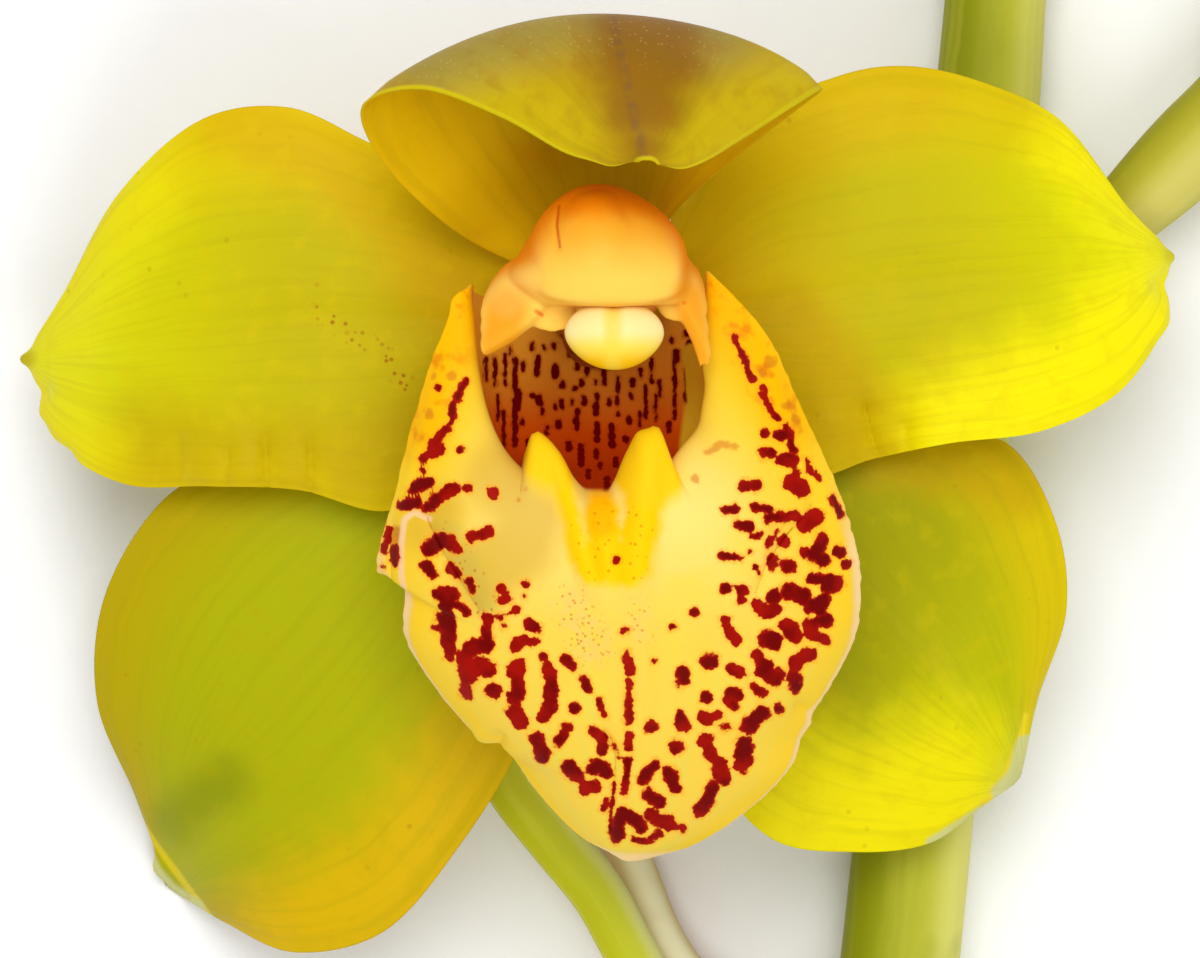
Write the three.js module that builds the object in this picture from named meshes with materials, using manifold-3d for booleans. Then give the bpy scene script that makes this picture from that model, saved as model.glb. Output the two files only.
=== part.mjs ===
// A cut stem of cymbidium orchid, laid on its side.
//
// Millimetres, +Z up. The spike lies along +Y on the plane z = 0, its tip towards +Y, and
// the open bloom faces +Z. The origin is on the surface, under the spike's node that
// carries the side bud.
//
// The stem is drawn on a face grid, as seen from above: grid squares are counted to the
// right and downwards. Heights are in millimetres, above the surface for the stem and
// above the plane in which the petals are rooted for the bloom.

import * as THREE from 'three';
import { mergeVertices } from 'three/addons/utils/BufferGeometryUtils.js';
import Module from 'manifold-3d';

const wasm = await Module();
wasm.setup();

// ---------------------------------------------------------------- driving dimensions

const BLOOM_SPREAD = 110.4;            // petal tip to petal tip
const GRID_SPREAD = 1150;              // the same span in grid squares
const GRID = BLOOM_SPREAD / GRID_SPREAD;
const ORIGIN_SQUARE = [968, 335];      // grid square over the origin

const BLOOM_LIFT = 22;                 // petal roots above the surface
const GAP = 0.3;                       // between pieces that touch

const SEPAL_THICKNESS = 0.8;
const PETAL_THICKNESS = 0.8;
const LIP_THICKNESS = 0.9;
const WING_THICKNESS = 0.9;
const BRACT_THICKNESS = 0.7;

const SPIKE_FOOT_RADIUS = 6.3;
const SPIKE_TIP_RADIUS = 2.4;
const NODE_SWELL = 0.7;                // how far a node's ring stands out
const NODE_HALF_LENGTH = 2.6;

const RECEPTACLE_RADIUS = 4.0;         // the ovary's top, which carries the bloom
const PEDICEL_RADIUS = 2.55;
const OVARY_SWELL = 0.55;              // how much wider the ovary is than its pedicel
const OVARY_RIB = 0.06;                // rib height as a share of the radius
const STUB_RADIUS = 2.15;

// ---------------------------------------------------------------- colours

const TEPAL_COLOUR = 0xc9c81a;
const HOOD_COLOUR = 0xa9a02c;
const LIP_COLOUR = 0xf3d76a;
const COLUMN_COLOUR = 0xf0a04c;
const CAP_COLOUR = 0xfbf0b8;
const POLLEN_COLOUR = 0xe8b820;
const STALK_COLOUR = 0xa9ad4a;
const PEDICEL_COLOUR = 0xa8b030;
const BUD_COLOUR = 0xb3b53a;

// ---------------------------------------------------------------- points and curves

/** A point of the stem: grid square and height above the surface. */
function stemPoint([column, row, height]) {
  return new THREE.Vector3(
    (column - ORIGIN_SQUARE[0]) * GRID,
    (ORIGIN_SQUARE[1] - row) * GRID,
    height,
  );
}

/** A point of the bloom: grid square and height above the petal roots. */
function bloomPoint([column, row, height]) {
  return stemPoint([column, row, height + BLOOM_LIFT]);
}

function curveThrough(points) {
  return new THREE.CatmullRomCurve3(points, false, 'catmullrom', 0.5);
}

function smoothStep(low, high, value) {
  return THREE.MathUtils.smoothstep(value, low, high);
}

/** A bell of height 1 at the centre. */
function bell(value, centre, width) {
  return Math.exp(-(((value - centre) / width) ** 2));
}

/** Values from the first mark to the last, in even steps from each mark to the next. */
function graded(marks, steps) {
  const values = [marks[0]];
  steps.forEach((count, i) => {
    for (let k = 1; k <= count; k += 1) {
      values.push(THREE.MathUtils.lerp(marks[i], marks[i + 1], k / count));
    }
  });
  return values;
}

// ---------------------------------------------------------------- closed skins

function signedVolume(points, faces) {
  let volume = 0;
  const cross = new THREE.Vector3();
  for (const [a, b, c] of faces) {
    volume += points[a].dot(cross.crossVectors(points[b], points[c])) / 6;
  }
  return volume;
}

/** A geometry from points and triangles, turned so that its faces point out. */
function skin(points, faces) {
  const turned = signedVolume(points, faces) < 0;
  const index = faces.flatMap(([a, b, c]) => (turned ? [a, c, b] : [a, b, c]));
  const geometry = new THREE.BufferGeometry();
  const positions = points.flatMap((point) => [point.x, point.y, point.z]);
  geometry.setAttribute('position', new THREE.Float32BufferAttribute(positions, 3));
  geometry.setIndex(index);
  return geometry;
}

/** A closed skin over rings of points, each end closed by a fan. */
function ringSkin(rings) {
  const sides = rings[0].length;
  const points = rings.flat();
  const faces = [];
  for (let r = 0; r + 1 < rings.length; r += 1) {
    for (let s = 0; s < sides; s += 1) {
      const next = (s + 1) % sides;
      const a = r * sides + s;
      const b = r * sides + next;
      faces.push([a, b, b + sides], [a, b + sides, a + sides]);
    }
  }
  const middle = (ring) => ring
    .reduce((sum, point) => sum.add(point), new THREE.Vector3())
    .divideScalar(sides);
  const foot = points.push(middle(rings[0])) - 1;
  const head = points.push(middle(rings.at(-1))) - 1;
  const last = (rings.length - 1) * sides;
  for (let s = 0; s < sides; s += 1) {
    const next = (s + 1) % sides;
    faces.push([foot, next, s], [head, last + s, last + next]);
  }
  return skin(points, faces);
}

/** A round stem along a path. radiusAt(t, angle) gives its radius. */
function stem(path, radiusAt, sides, steps) {
  const frames = path.computeFrenetFrames(steps, false);
  const rings = [];
  for (let i = 0; i <= steps; i += 1) {
    const t = i / steps;
    const centre = path.getPointAt(t);
    const ring = [];
    for (let s = 0; s < sides; s += 1) {
      const angle = (s / sides) * 2 * Math.PI;
      const radius = radiusAt(t, angle);
      ring.push(centre.clone()
        .addScaledVector(frames.normals[i], radius * Math.cos(angle))
        .addScaledVector(frames.binormals[i], radius * Math.sin(angle)));
    }
    rings.push(ring);
  }
  return ringSkin(rings);
}

/**
 * A sheet of even thickness over surface(u, v), with u from 0 to 1 along it and v from -1
 * to 1 across it. Both faces are split into the same triangles, at the values us and vs.
 */
function sheet(surface, us, vs, thickness) {
  const step = 1e-3;
  const rows = us.length - 1;
  const columns = vs.length - 1;
  const front = [];
  const back = [];
  for (const u of us) {
    for (const v of vs) {
      const along = surface(Math.min(u + step, 1), v).sub(surface(Math.max(u - step, 0), v));
      const across = surface(u, Math.min(v + step, 1)).sub(surface(u, Math.max(v - step, -1)));
      const normal = along.cross(across).normalize();
      const half = thickness(u) / 2;
      front.push(surface(u, v).addScaledVector(normal, half));
      back.push(surface(u, v).addScaledVector(normal, -half));
    }
  }
  const wide = columns + 1;
  const under = front.length;
  const faces = [];
  for (let r = 0; r < rows; r += 1) {
    for (let c = 0; c < columns; c += 1) {
      const a = r * wide + c;
      faces.push([a, a + 1, a + wide + 1], [a, a + wide + 1, a + wide]);
      faces.push([under + a, under + a + wide + 1, under + a + 1]);
      faces.push([under + a, under + a + wide, under + a + wide + 1]);
    }
  }
  for (const [a, b] of sheetEdge(rows, columns)) {
    faces.push([a, under + a, under + b], [a, under + b, b]);
  }
  return skin([...front, ...back], faces);
}

/** The pairs of neighbouring points round the edge of a sheet's grid, in one direction. */
function sheetEdge(rows, columns) {
  const wide = columns + 1;
  const loop = [];
  for (let c = 0; c < columns; c += 1) loop.push(c);
  for (let r = 0; r < rows; r += 1) loop.push(r * wide + columns);
  for (let c = columns; c > 0; c -= 1) loop.push(rows * wide + c);
  for (let r = rows; r > 0; r -= 1) loop.push(r * wide);
  return loop.map((point, i) => [point, loop[(i + 1) % loop.length]]);
}

// ---------------------------------------------------------------- solids that are joined

function solidOf(geometry) {
  const bare = geometry.clone();
  bare.deleteAttribute('normal');
  bare.deleteAttribute('uv');
  const merged = mergeVertices(bare);
  return new wasm.Manifold(new wasm.Mesh({
    numProp: 3,
    vertProperties: Float32Array.from(merged.attributes.position.array),
    triVerts: Uint32Array.from(merged.index.array),
  }));
}

function geometryOf(solid) {
  const mesh = solid.getMesh();
  const geometry = new THREE.BufferGeometry();
  geometry.setAttribute('position', new THREE.BufferAttribute(mesh.vertProperties, 3));
  geometry.setIndex(new THREE.BufferAttribute(mesh.triVerts, 1));
  return geometry;
}

function fuse(geometries) {
  return geometries.map(solidOf).reduce((whole, piece) => whole.add(piece));
}

/** The surface as a block that trims whatever reaches below it. */
function groundBlock() {
  const width = 600;
  const depth = 40;
  const block = new THREE.BoxGeometry(width, width, depth);
  block.translate(0, 0, -depth / 2);
  return solidOf(block);
}

// ---------------------------------------------------------------- tepals

/**
 * A tepal follows three guides of as many points each: its two edges and its midrib.
 * fullness 0 bows it across as a parabola, and 1 keeps it flat until near the edges.
 * keel is the depth of the groove along the midrib, and each wave is a pleat.
 */
function tepalSurface({ left, mid, right, fullness = 0.3, keel = 0.4, waves = [] }) {
  const guides = [left, mid, right].map((points) => curveThrough(points.map(bloomPoint)));
  const keelWidth = 0.12;
  const keelAlong = (u) => smoothStep(0, 0.2, u) * (1 - smoothStep(0.8, 1, u));
  return (u, v) => {
    const [edgeL, rib, edgeR] = guides.map((guide) => guide.getPoint(u));
    const bow = (1 - fullness) * v ** 2 + fullness * v ** 4;
    const point = rib.clone()
      .addScaledVector(edgeR.clone().sub(edgeL), v / 2)
      .addScaledVector(edgeL.clone().add(edgeR).sub(rib.clone().multiplyScalar(2)), bow / 2);
    point.z -= keel * bell(v, 0, keelWidth) * keelAlong(u);
    for (const wave of waves) {
      point.z += wave.height * bell(u, wave.u, wave.length) * bell(v, wave.v, wave.width);
    }
    return point;
  };
}

function tepal(shape, thickness) {
  const rootExtra = 0.5;               // how much thicker it is at the root
  return sheet(
    tepalSurface(shape),
    graded([0, 1], [20]),
    graded([-1, 1], [10]),
    (u) => thickness + rootExtra * (1 - smoothStep(0, 0.25, u)),
  );
}

const PETAL_LEFT = {
  left: [
    [561, 308, 0.8], [506, 248, 1.0], [440, 181, 1.6], [364, 141, 2.6], [287, 108, 2.2],
    [200, 121, 0.6], [118, 193, -3.4], [62, 290, -8.4], [24, 353, -12.4],
  ],
  mid: [
    [561, 323, 0.6], [490, 322, 3.2], [425, 322, 4.6], [350, 322, 5.2], [275, 324, 4.8],
    [195, 332, 3.0], [120, 343, -1.2], [62, 353, -7.0], [21, 358, -12.4],
  ],
  right: [
    [561, 340, 1.0], [505, 420, 2.6], [458, 480, 4.2], [385, 511, 5.2], [300, 490, 5.0],
    [210, 486, 3.2], [125, 484, -0.6], [54, 442, -6.6], [25, 364, -12.2],
  ],
  waves: [
    { u: 0.58, v: 0.95, length: 0.06, width: 0.35, height: 0.8 },
    { u: 0.7, v: 0.95, length: 0.06, width: 0.35, height: -0.7 },
    { u: 0.93, v: 0.9, length: 0.06, width: 0.35, height: -0.8 },
  ],
};

const PETAL_RIGHT = {
  left: [
    [649, 340, 1.0], [720, 420, 2.6], [800, 476, 4.2], [872, 459, 5.0], [950, 443, 5.4],
    [1040, 431, 4.4], [1118, 392, 1.8], [1166, 322, -2.6], [1171, 262, -7.0],
  ],
  mid: [
    [649, 323, 0.6], [720, 312, 3.4], [795, 300, 4.8], [870, 290, 5.4], [945, 280, 5.2],
    [1020, 272, 4.0], [1090, 263, 1.4], [1140, 257, -2.6], [1174, 256, -7.0],
  ],
  right: [
    [649, 308, 0.8], [678, 218, 1.0], [722, 130, 1.4], [829, 80, 2.4], [905, 67, 2.2],
    [985, 84, 1.2], [1062, 122, -0.8], [1128, 206, -4.0], [1170, 250, -7.0],
  ],
  waves: [
    { u: 0.38, v: -0.95, length: 0.06, width: 0.4, height: -1.2 },
    { u: 0.93, v: -0.7, length: 0.06, width: 0.4, height: -0.8 },
  ],
};

const SEPAL_DORSAL = {
  left: [
    [590, 287, 0.0], [528, 268, 3.4], [455, 232, 8.4], [386, 167, 15.0], [367, 113, 21.4],
    [426, 98, 26.0], [505, 127, 29.8], [575, 165, 32.5], [638, 169, 34.5],
  ],
  mid: [
    [605, 287, -0.2], [612, 225, 4.0], [608, 150, 9.0], [602, 78, 15.0], [602, 36, 21.0],
    [612, 30, 27.0], [634, 66, 31.5], [643, 120, 34.0], [646, 168, 35.0],
  ],
  right: [
    [620, 287, 0.0], [655, 238, 3.4], [692, 196, 8.6], [754, 146, 15.0], [817, 98, 21.2],
    [790, 114, 25.8], [738, 148, 29.6], [695, 172, 32.5], [655, 172, 34.5],
  ],
  fullness: 0.3,
  keel: 0,
};

const SEPAL_LEFT = {
  left: [
    [564, 352, 0.0], [490, 400, -1.4], [385, 445, -1.6], [270, 462, -2.0], [172, 492, -3.4],
    [105, 590, -6.0], [93, 700, -9.6], [130, 800, -15.2], [160, 893, -21.3],
  ],
  mid: [
    [577, 364, -0.4], [520, 430, -0.8], [460, 500, 0.4], [398, 575, 0.8], [335, 652, 0.2],
    [275, 722, -2.4], [222, 786, -7.0], [188, 842, -13.0], [165, 897, -21.5],
  ],
  right: [
    [590, 377, 0.0], [575, 500, -1.6], [560, 630, -1.4], [520, 745, -1.6], [462, 842, -3.4],
    [385, 932, -6.4], [294, 956, -10.0], [221, 928, -15.8], [174, 903, -21.3],
  ],
  fullness: 0.5,
};

const SEPAL_RIGHT = {
  left: [
    [620, 377, 0.0], [650, 500, -1.6], [675, 640, -1.4], [708, 760, -1.6], [770, 838, -2.4],
    [852, 853, -4.0], [930, 845, -6.0], [985, 808, -8.0], [1016, 787, -10.4],
  ],
  mid: [
    [633, 364, -0.4], [680, 420, -0.8], [735, 478, 0.2], [795, 538, 0.6], [855, 598, 0.2],
    [912, 655, -1.4], [962, 710, -3.6], [998, 752, -6.4], [1021, 782, -10.4],
  ],
  right: [
    [646, 352, 0.0], [730, 400, -1.4], [830, 435, -1.6], [930, 439, -1.8], [1008, 444, -2.6],
    [1056, 520, -3.8], [1068, 610, -5.2], [1040, 700, -7.4], [1025, 776, -10.2],
  ],
  fullness: 0.5,
};

const TEPALS = [
  ['sepal_dorsal', SEPAL_DORSAL, SEPAL_THICKNESS, HOOD_COLOUR],
  ['sepal_left', SEPAL_LEFT, SEPAL_THICKNESS, TEPAL_COLOUR],
  ['sepal_right', SEPAL_RIGHT, SEPAL_THICKNESS, TEPAL_COLOUR],
  ['petal_left', PETAL_LEFT, PETAL_THICKNESS, TEPAL_COLOUR],
  ['petal_right', PETAL_RIGHT, PETAL_THICKNESS, TEPAL_COLOUR],
];

// ---------------------------------------------------------------- lip

/**
 * The lip's stations, from its root to its tip: the midline and the two edges. Each half
 * leaves the midline level, as far as the share flat of its width, and bends towards the
 * edge at a shoulder, which lies the shares out (x) and along (y) of the way to the edge,
 * raised by proud.
 */
const LIP_STATIONS = [
  {
    mid: [605, 371, 1.5], left: [559, 334, 3.0], right: [651, 334, 3.0],
    flat: 0.5, out: 0.95, along: 0.2, proud: 0,
  },
  {
    mid: [604, 432, 4.0], left: [538, 300, 6.0], right: [671, 298, 6.0],
    flat: 0.7, out: 1.1, along: 0.2, proud: 0,
  },
  {
    mid: [603, 468, 10.0], left: [492, 300, 11.0], right: [702, 295, 11.0],
    flat: 0.7, out: 1.15, along: 0.15, proud: 0,
  },
  {
    mid: [602, 486, 16.5], left: [475, 292, 16.8], right: [708, 286, 16.8],
    flat: 0.7, out: 1.12, along: 0.15, proud: 0,
  },
  {
    mid: [602, 498, 21.5], left: [470, 283, 20.8], right: [709, 277, 20.8],
    flat: 0.6, out: 1.0, along: 0.15, proud: 0.4,
  },
  {
    mid: [610, 532, 24.2], left: [443, 342, 21.4], right: [762, 335, 21.4],
    flat: 0.55, out: 0.95, along: 0.3, proud: 0.6,
  },
  {
    mid: [616, 570, 25.0], left: [420, 412, 20.2], right: [794, 402, 20.2],
    flat: 0.5, out: 0.9, along: 0.4, proud: 1.0,
  },
  {
    mid: [620, 606, 25.0], left: [397, 500, 18.0], right: [830, 480, 18.4],
    flat: 0.5, out: 0.85, along: 0.45, proud: 1.6,
  },
  {
    mid: [622, 634, 24.6], left: [382, 560, 15.4], right: [848, 532, 17.0],
    flat: 0.5, out: 0.8, along: 0.5, proud: 2.4,
  },
  {
    mid: [623, 655, 24.2], left: [408, 580, 16.6], right: [856, 574, 16.6],
    flat: 0.5, out: 0.8, along: 0.5, proud: 2.2,
  },
  {
    mid: [625, 690, 23.4], left: [408, 632, 15.2], right: [852, 630, 15.8],
    flat: 0.5, out: 0.8, along: 0.55, proud: 2.4,
  },
  {
    mid: [626, 722, 22.4], left: [438, 684, 14.4], right: [828, 680, 15.0],
    flat: 0.5, out: 0.8, along: 0.6, proud: 2.2,
  },
  {
    mid: [627, 754, 21.0], left: [478, 730, 13.8], right: [802, 722, 14.4],
    flat: 0.5, out: 0.8, along: 0.65, proud: 1.8,
  },
  {
    mid: [628, 784, 19.4], left: [508, 745, 13.4], right: [788, 762, 13.8],
    flat: 0.45, out: 0.8, along: 0.65, proud: 1.4,
  },
  {
    mid: [629, 812, 17.6], left: [536, 784, 13.0], right: [752, 800, 13.4],
    flat: 0.4, out: 0.75, along: 0.65, proud: 1.0,
  },
  {
    mid: [629, 836, 15.6], left: [572, 822, 12.4], right: [706, 832, 12.8],
    flat: 0.4, out: 0.7, along: 0.65, proud: 0.6,
  },
  {
    mid: [628, 856, 13.2], left: [614, 850, 12.0], right: [650, 853, 12.2],
    flat: 0.35, out: 0.67, along: 0.67, proud: 0.1,
  },
];

/** The guides of one half of the lip: where it is still level, its shoulder and its edge. */
function lipHalf(side) {
  const { lerp } = THREE.MathUtils;
  const shoulderRise = 0.6;            // of the way from the midline's height to the edge's
  const from = LIP_STATIONS.map((station) => bloomPoint(station.mid));
  const to = LIP_STATIONS.map((station) => bloomPoint(station[side]));
  const level = LIP_STATIONS.map(({ flat }, i) => new THREE.Vector3(
    lerp(from[i].x, to[i].x, flat),
    from[i].y,
    from[i].z,
  ));
  const shoulder = LIP_STATIONS.map(({ out, along, proud }, i) => new THREE.Vector3(
    lerp(from[i].x, to[i].x, out),
    lerp(from[i].y, to[i].y, along),
    lerp(from[i].z, to[i].z, shoulderRise) + proud,
  ));
  return [level, shoulder, to].map(curveThrough);
}

/**
 * The callus: a keel on each side of the midline. Its ridge runs between two grid squares,
 * and its horn reaches out over the throat by lift, where the share of the lip's half width
 * is past rise and short of fall.
 */
const KEELS = {
  left: {
    lift: 4.5, rise: [0.04, 0.19], fall: [0.3, 0.4],
    ridge: [[563, 455], [594, 590]], halfWidth: 1.1,
  },
  right: {
    lift: 5.2, rise: [0.03, 0.14], fall: [0.32, 0.47],
    ridge: [[648, 440], [634, 590]], halfWidth: 1.6,
  },
};
const RIDGE_HEIGHT = 1.3;
const CREST = 0.25;                    // where along the lip its floor leaves the throat

function hornReach({ lift, rise, fall }, u, s) {
  const reachesAlong = 0.045;
  return lift * smoothStep(...rise, s) * (1 - smoothStep(...fall, s))
    * bell(u, CREST, reachesAlong);
}

function ridgeRise({ ridge: [from, to], halfWidth }, u, point) {
  const row = ORIGIN_SQUARE[1] - point.y / GRID;
  const share = (row - from[1]) / (to[1] - from[1]);
  const centre = (THREE.MathUtils.lerp(from[0], to[0], share) - ORIGIN_SQUARE[0]) * GRID;
  return RIDGE_HEIGHT * bell(point.x, centre, halfWidth)
    * smoothStep(CREST - 0.05, CREST + 0.02, u) * (1 - smoothStep(0.8, 1.15, share));
}

function lipSurface() {
  const mid = curveThrough(LIP_STATIONS.map((station) => bloomPoint(station.mid)));
  const halves = { left: lipHalf('left'), right: lipHalf('right') };
  return (u, v) => {
    const s = Math.abs(v);
    const side = v < 0 ? 'left' : 'right';
    const [level, shoulder, edge] = halves[side];
    const point = mid.getPoint(u).multiplyScalar((1 - s) ** 3)
      .addScaledVector(level.getPoint(u), 3 * s * (1 - s) ** 2)
      .addScaledVector(shoulder.getPoint(u), 3 * s ** 2 * (1 - s))
      .addScaledVector(edge.getPoint(u), s ** 3);
    point.y += hornReach(KEELS[side], u, s);
    point.z += ridgeRise(KEELS.left, u, point) + ridgeRise(KEELS.right, u, point);
    return point;
  };
}

/** The lip's sheet is split finest at the crest and the keels. */
function lip() {
  const us = graded([0, 0.19, 0.34, 1], [5, 8, 20]);
  const half = graded([0, 0.42, 1], [7, 6]);
  const vs = [...half.slice(1).reverse().map((v) => -v), ...half];
  return sheet(lipSurface(), us, vs, () => LIP_THICKNESS);
}

// ---------------------------------------------------------------- column

/**
 * The column's stations, from root to tip: centre, half width, and how far its back (up)
 * and its underside (down) lie from the centre, in millimetres.
 */
const COLUMN_STATIONS = [
  { centre: [605, 330, 0.3], wide: 3.6, up: 3.4, down: 3.4 },
  { centre: [604, 316, 6.0], wide: 4.2, up: 4.0, down: 3.2 },
  { centre: [603, 290, 12.0], wide: 5.4, up: 5.0, down: 3.0 },
  { centre: [603, 268, 17.5], wide: 6.8, up: 6.2, down: 3.6 },
  { centre: [606, 262, 22.0], wide: 7.5, up: 7.0, down: 4.6 },
  { centre: [608, 268, 25.5], wide: 7.4, up: 6.4, down: 4.2 },
  { centre: [610, 280, 28.2], wide: 6.4, up: 5.0, down: 3.0 },
  { centre: [612, 290, 29.8], wide: 4.2, up: 2.8, down: 1.8 },
  { centre: [613, 293, 30.4], wide: 1.8, up: 1.2, down: 0.8 },
];

function columnBody() {
  const steps = 18;
  const sides = 20;
  const squareness = 0.4;              // the underside is squarer than the back
  const centres = curveThrough(COLUMN_STATIONS.map(({ centre }) => bloomPoint(centre)));
  const sizes = curveThrough(COLUMN_STATIONS
    .map(({ wide, up, down }) => new THREE.Vector3(wide, up, down)));
  const rings = [];
  for (let i = 0; i <= steps; i += 1) {
    const centre = centres.getPoint(i / steps);
    const size = sizes.getPoint(i / steps);
    const ring = [];
    for (let s = 0; s < sides; s += 1) {
      const angle = (s / sides) * 2 * Math.PI;
      const rise = Math.sin(angle) > 0
        ? size.y * Math.sin(angle)
        : -size.z * Math.abs(Math.sin(angle)) ** squareness;
      ring.push(new THREE.Vector3(
        centre.x + size.x * Math.cos(angle),
        centre.y + rise,
        centre.z,
      ));
    }
    rings.push(ring);
  }
  return ringSkin(rings);
}

/** Each wing hangs from the column's side (left) to a free edge that curls down (right). */
const WINGS = [
  {
    left: [[566, 262, 12.0], [556, 258, 18.0], [548, 268, 22.4], [556, 300, 25.2]],
    mid: [[556, 272, 12.2], [530, 266, 18.2], [514, 284, 22.4], [525, 334, 25.4]],
    right: [[548, 282, 12.4], [508, 276, 18.4], [487, 312, 22.4], [484, 358, 25.0]],
    fullness: 0,
    keel: 0,
  },
  {
    left: [[642, 262, 12.0], [656, 260, 18.0], [668, 272, 22.4], [668, 298, 25.2]],
    mid: [[652, 270, 12.2], [674, 266, 18.2], [686, 284, 22.6], [688, 326, 25.4]],
    right: [[660, 280, 12.4], [688, 277, 18.4], [698, 308, 23.0], [699, 350, 25.4]],
    fullness: 0,
    keel: 0,
  },
];

function wing(shape) {
  return sheet(
    tepalSurface(shape),
    graded([0, 1], [8]),
    graded([-1, 1], [6]),
    () => WING_THICKNESS,
  );
}

const CAP_CENTRE = [614, 338, 27.0];
const CAP_HALF = { wide: 4.7, tall: 3.3, deep: 3.0 };
const POLLEN_HALF = { wide: 1.5, tall: 1.5, deep: 1.1 };

/** The anther cap: two lobes with a groove between them. */
function capShape(grow) {
  const centre = bloomPoint(CAP_CENTRE);
  const sides = 18;
  const geometry = new THREE.SphereGeometry(1, sides, 12);
  const position = geometry.attributes.position;
  const groove = 0.16;                 // its depth and half width, as shares of the cap's
  const grooveWidth = 0.22;
  for (let i = 0; i < position.count; i += 1) {
    const x = position.getX(i);
    const pinch = 1 - groove * bell(x, 0, grooveWidth);
    position.setXYZ(
      i,
      centre.x + x * (CAP_HALF.wide + grow),
      centre.y + position.getY(i) * (CAP_HALF.tall + grow) * pinch,
      centre.z + position.getZ(i) * (CAP_HALF.deep + grow) * pinch,
    );
  }
  return solidOf(geometry);
}

/** The pollinarium: two pollinia side by side, joined at their foot. */
function pollenShape(grow) {
  const centre = bloomPoint(CAP_CENTRE);
  const recess = CAP_HALF.deep;
  const apart = 1.1;                   // from the middle, less than their half width
  const pieces = [-1, 1].map((side) => {
    const grain = new THREE.SphereGeometry(1, 10, 8);
    grain.scale(POLLEN_HALF.wide + grow, POLLEN_HALF.tall + grow, POLLEN_HALF.deep + grow);
    grain.translate(centre.x + side * apart, centre.y, centre.z - recess);
    return grain;
  });
  return fuse(pieces);
}

function column() {
  const whole = fuse([columnBody(), ...WINGS.map(wing)]);
  return geometryOf(whole.subtract(capShape(GAP)).subtract(pollenShape(GAP)));
}

function antherCap() {
  return geometryOf(capShape(0).subtract(pollenShape(GAP)));
}

function pollinarium() {
  return geometryOf(pollenShape(0));
}

// ---------------------------------------------------------------- spike

/** The spike's line: grid squares, read from its cut foot to its tip. */
const SPIKE_LINE = [
  [784, 1900], [822, 1600], [862, 1300], [898, 1020], [927, 740],
  [953, 479], [968, 335], [995, 70], [1010, -180], [1010, -420],
];

/** Nodes of the spike: how far up the grid, and the side that the bract is on, in degrees. */
const NODES = [
  { row: 1690, side: 200, bract: 20, spread: 150 },
  { row: 1450, side: 20, bract: 18, spread: 140 },
  { row: 1235, side: 165, bract: 9, spread: 75 },
  { row: 1095, side: 178, bract: 8, spread: 75 },
  { row: 331, side: 12, bract: 8, spread: 75 },
  { row: -60, side: 165, bract: 7, spread: 75 },
];

function spikeRadius(row) {
  const foot = SPIKE_LINE[0][1];
  const tip = SPIKE_LINE.at(-1)[1];
  const share = (foot - row) / (foot - tip);
  const taper = 0.32 * share + 0.68 * share ** 10;
  return THREE.MathUtils.lerp(SPIKE_FOOT_RADIUS, SPIKE_TIP_RADIUS, taper);
}

/** The spike's axis, as low as it lies with its nodes' rings pressed flat on the surface. */
function spikePath() {
  const seat = NODE_SWELL * 0.2;
  return curveThrough(SPIKE_LINE
    .map(([square, row]) => stemPoint([square, row, spikeRadius(row) + seat])));
}

const SPIKE_PATH = spikePath();

/** Where the spike's axis is at a grid row. */
function spikeCentre(row) {
  const y = (ORIGIN_SQUARE[1] - row) * GRID;
  let low = 0;
  let high = 1;
  for (let i = 0; i < 30; i += 1) {
    const half = (low + high) / 2;
    if (SPIKE_PATH.getPoint(half).y < y) low = half;
    else high = half;
  }
  return SPIKE_PATH.getPoint((low + high) / 2);
}

/** The rows of the stalk's rings, from its foot: even, but closer at each node. */
function stalkRows() {
  const steps = 34;
  const nodeHalf = NODE_HALF_LENGTH / GRID;
  const nodeClear = 2.2 * nodeHalf;
  const atNode = [-1.7, -0.8, 0, 0.8, 1.7];
  const rows = NODES.flatMap(({ row }) => atNode.map((share) => row + share * nodeHalf));
  for (const row of graded([SPIKE_LINE[0][1], SPIKE_LINE.at(-1)[1]], [steps])) {
    if (NODES.every((node) => Math.abs(row - node.row) > nodeClear)) rows.push(row);
  }
  return rows.sort((a, b) => b - a);
}

/** The bare stalk with a ring at each node, grown all round by grow. One side faces down. */
function stalk(grow) {
  const sides = 12;
  const rings = stalkRows().map((row) => {
    const centre = spikeCentre(row);
    const swell = NODES.reduce((most, node) => {
      const away = (row - node.row) * GRID;
      return Math.max(most, bell(away, 0, NODE_HALF_LENGTH));
    }, 0);
    const radius = spikeRadius(row) + NODE_SWELL * swell + grow;
    return Array.from({ length: sides }, (_, s) => {
      const angle = ((s + 0.5) / sides) * 2 * Math.PI;
      return new THREE.Vector3(
        centre.x + radius * Math.cos(angle),
        centre.y,
        centre.z + radius * Math.sin(angle),
      );
    });
  });
  return solidOf(ringSkin(rings));
}

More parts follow.
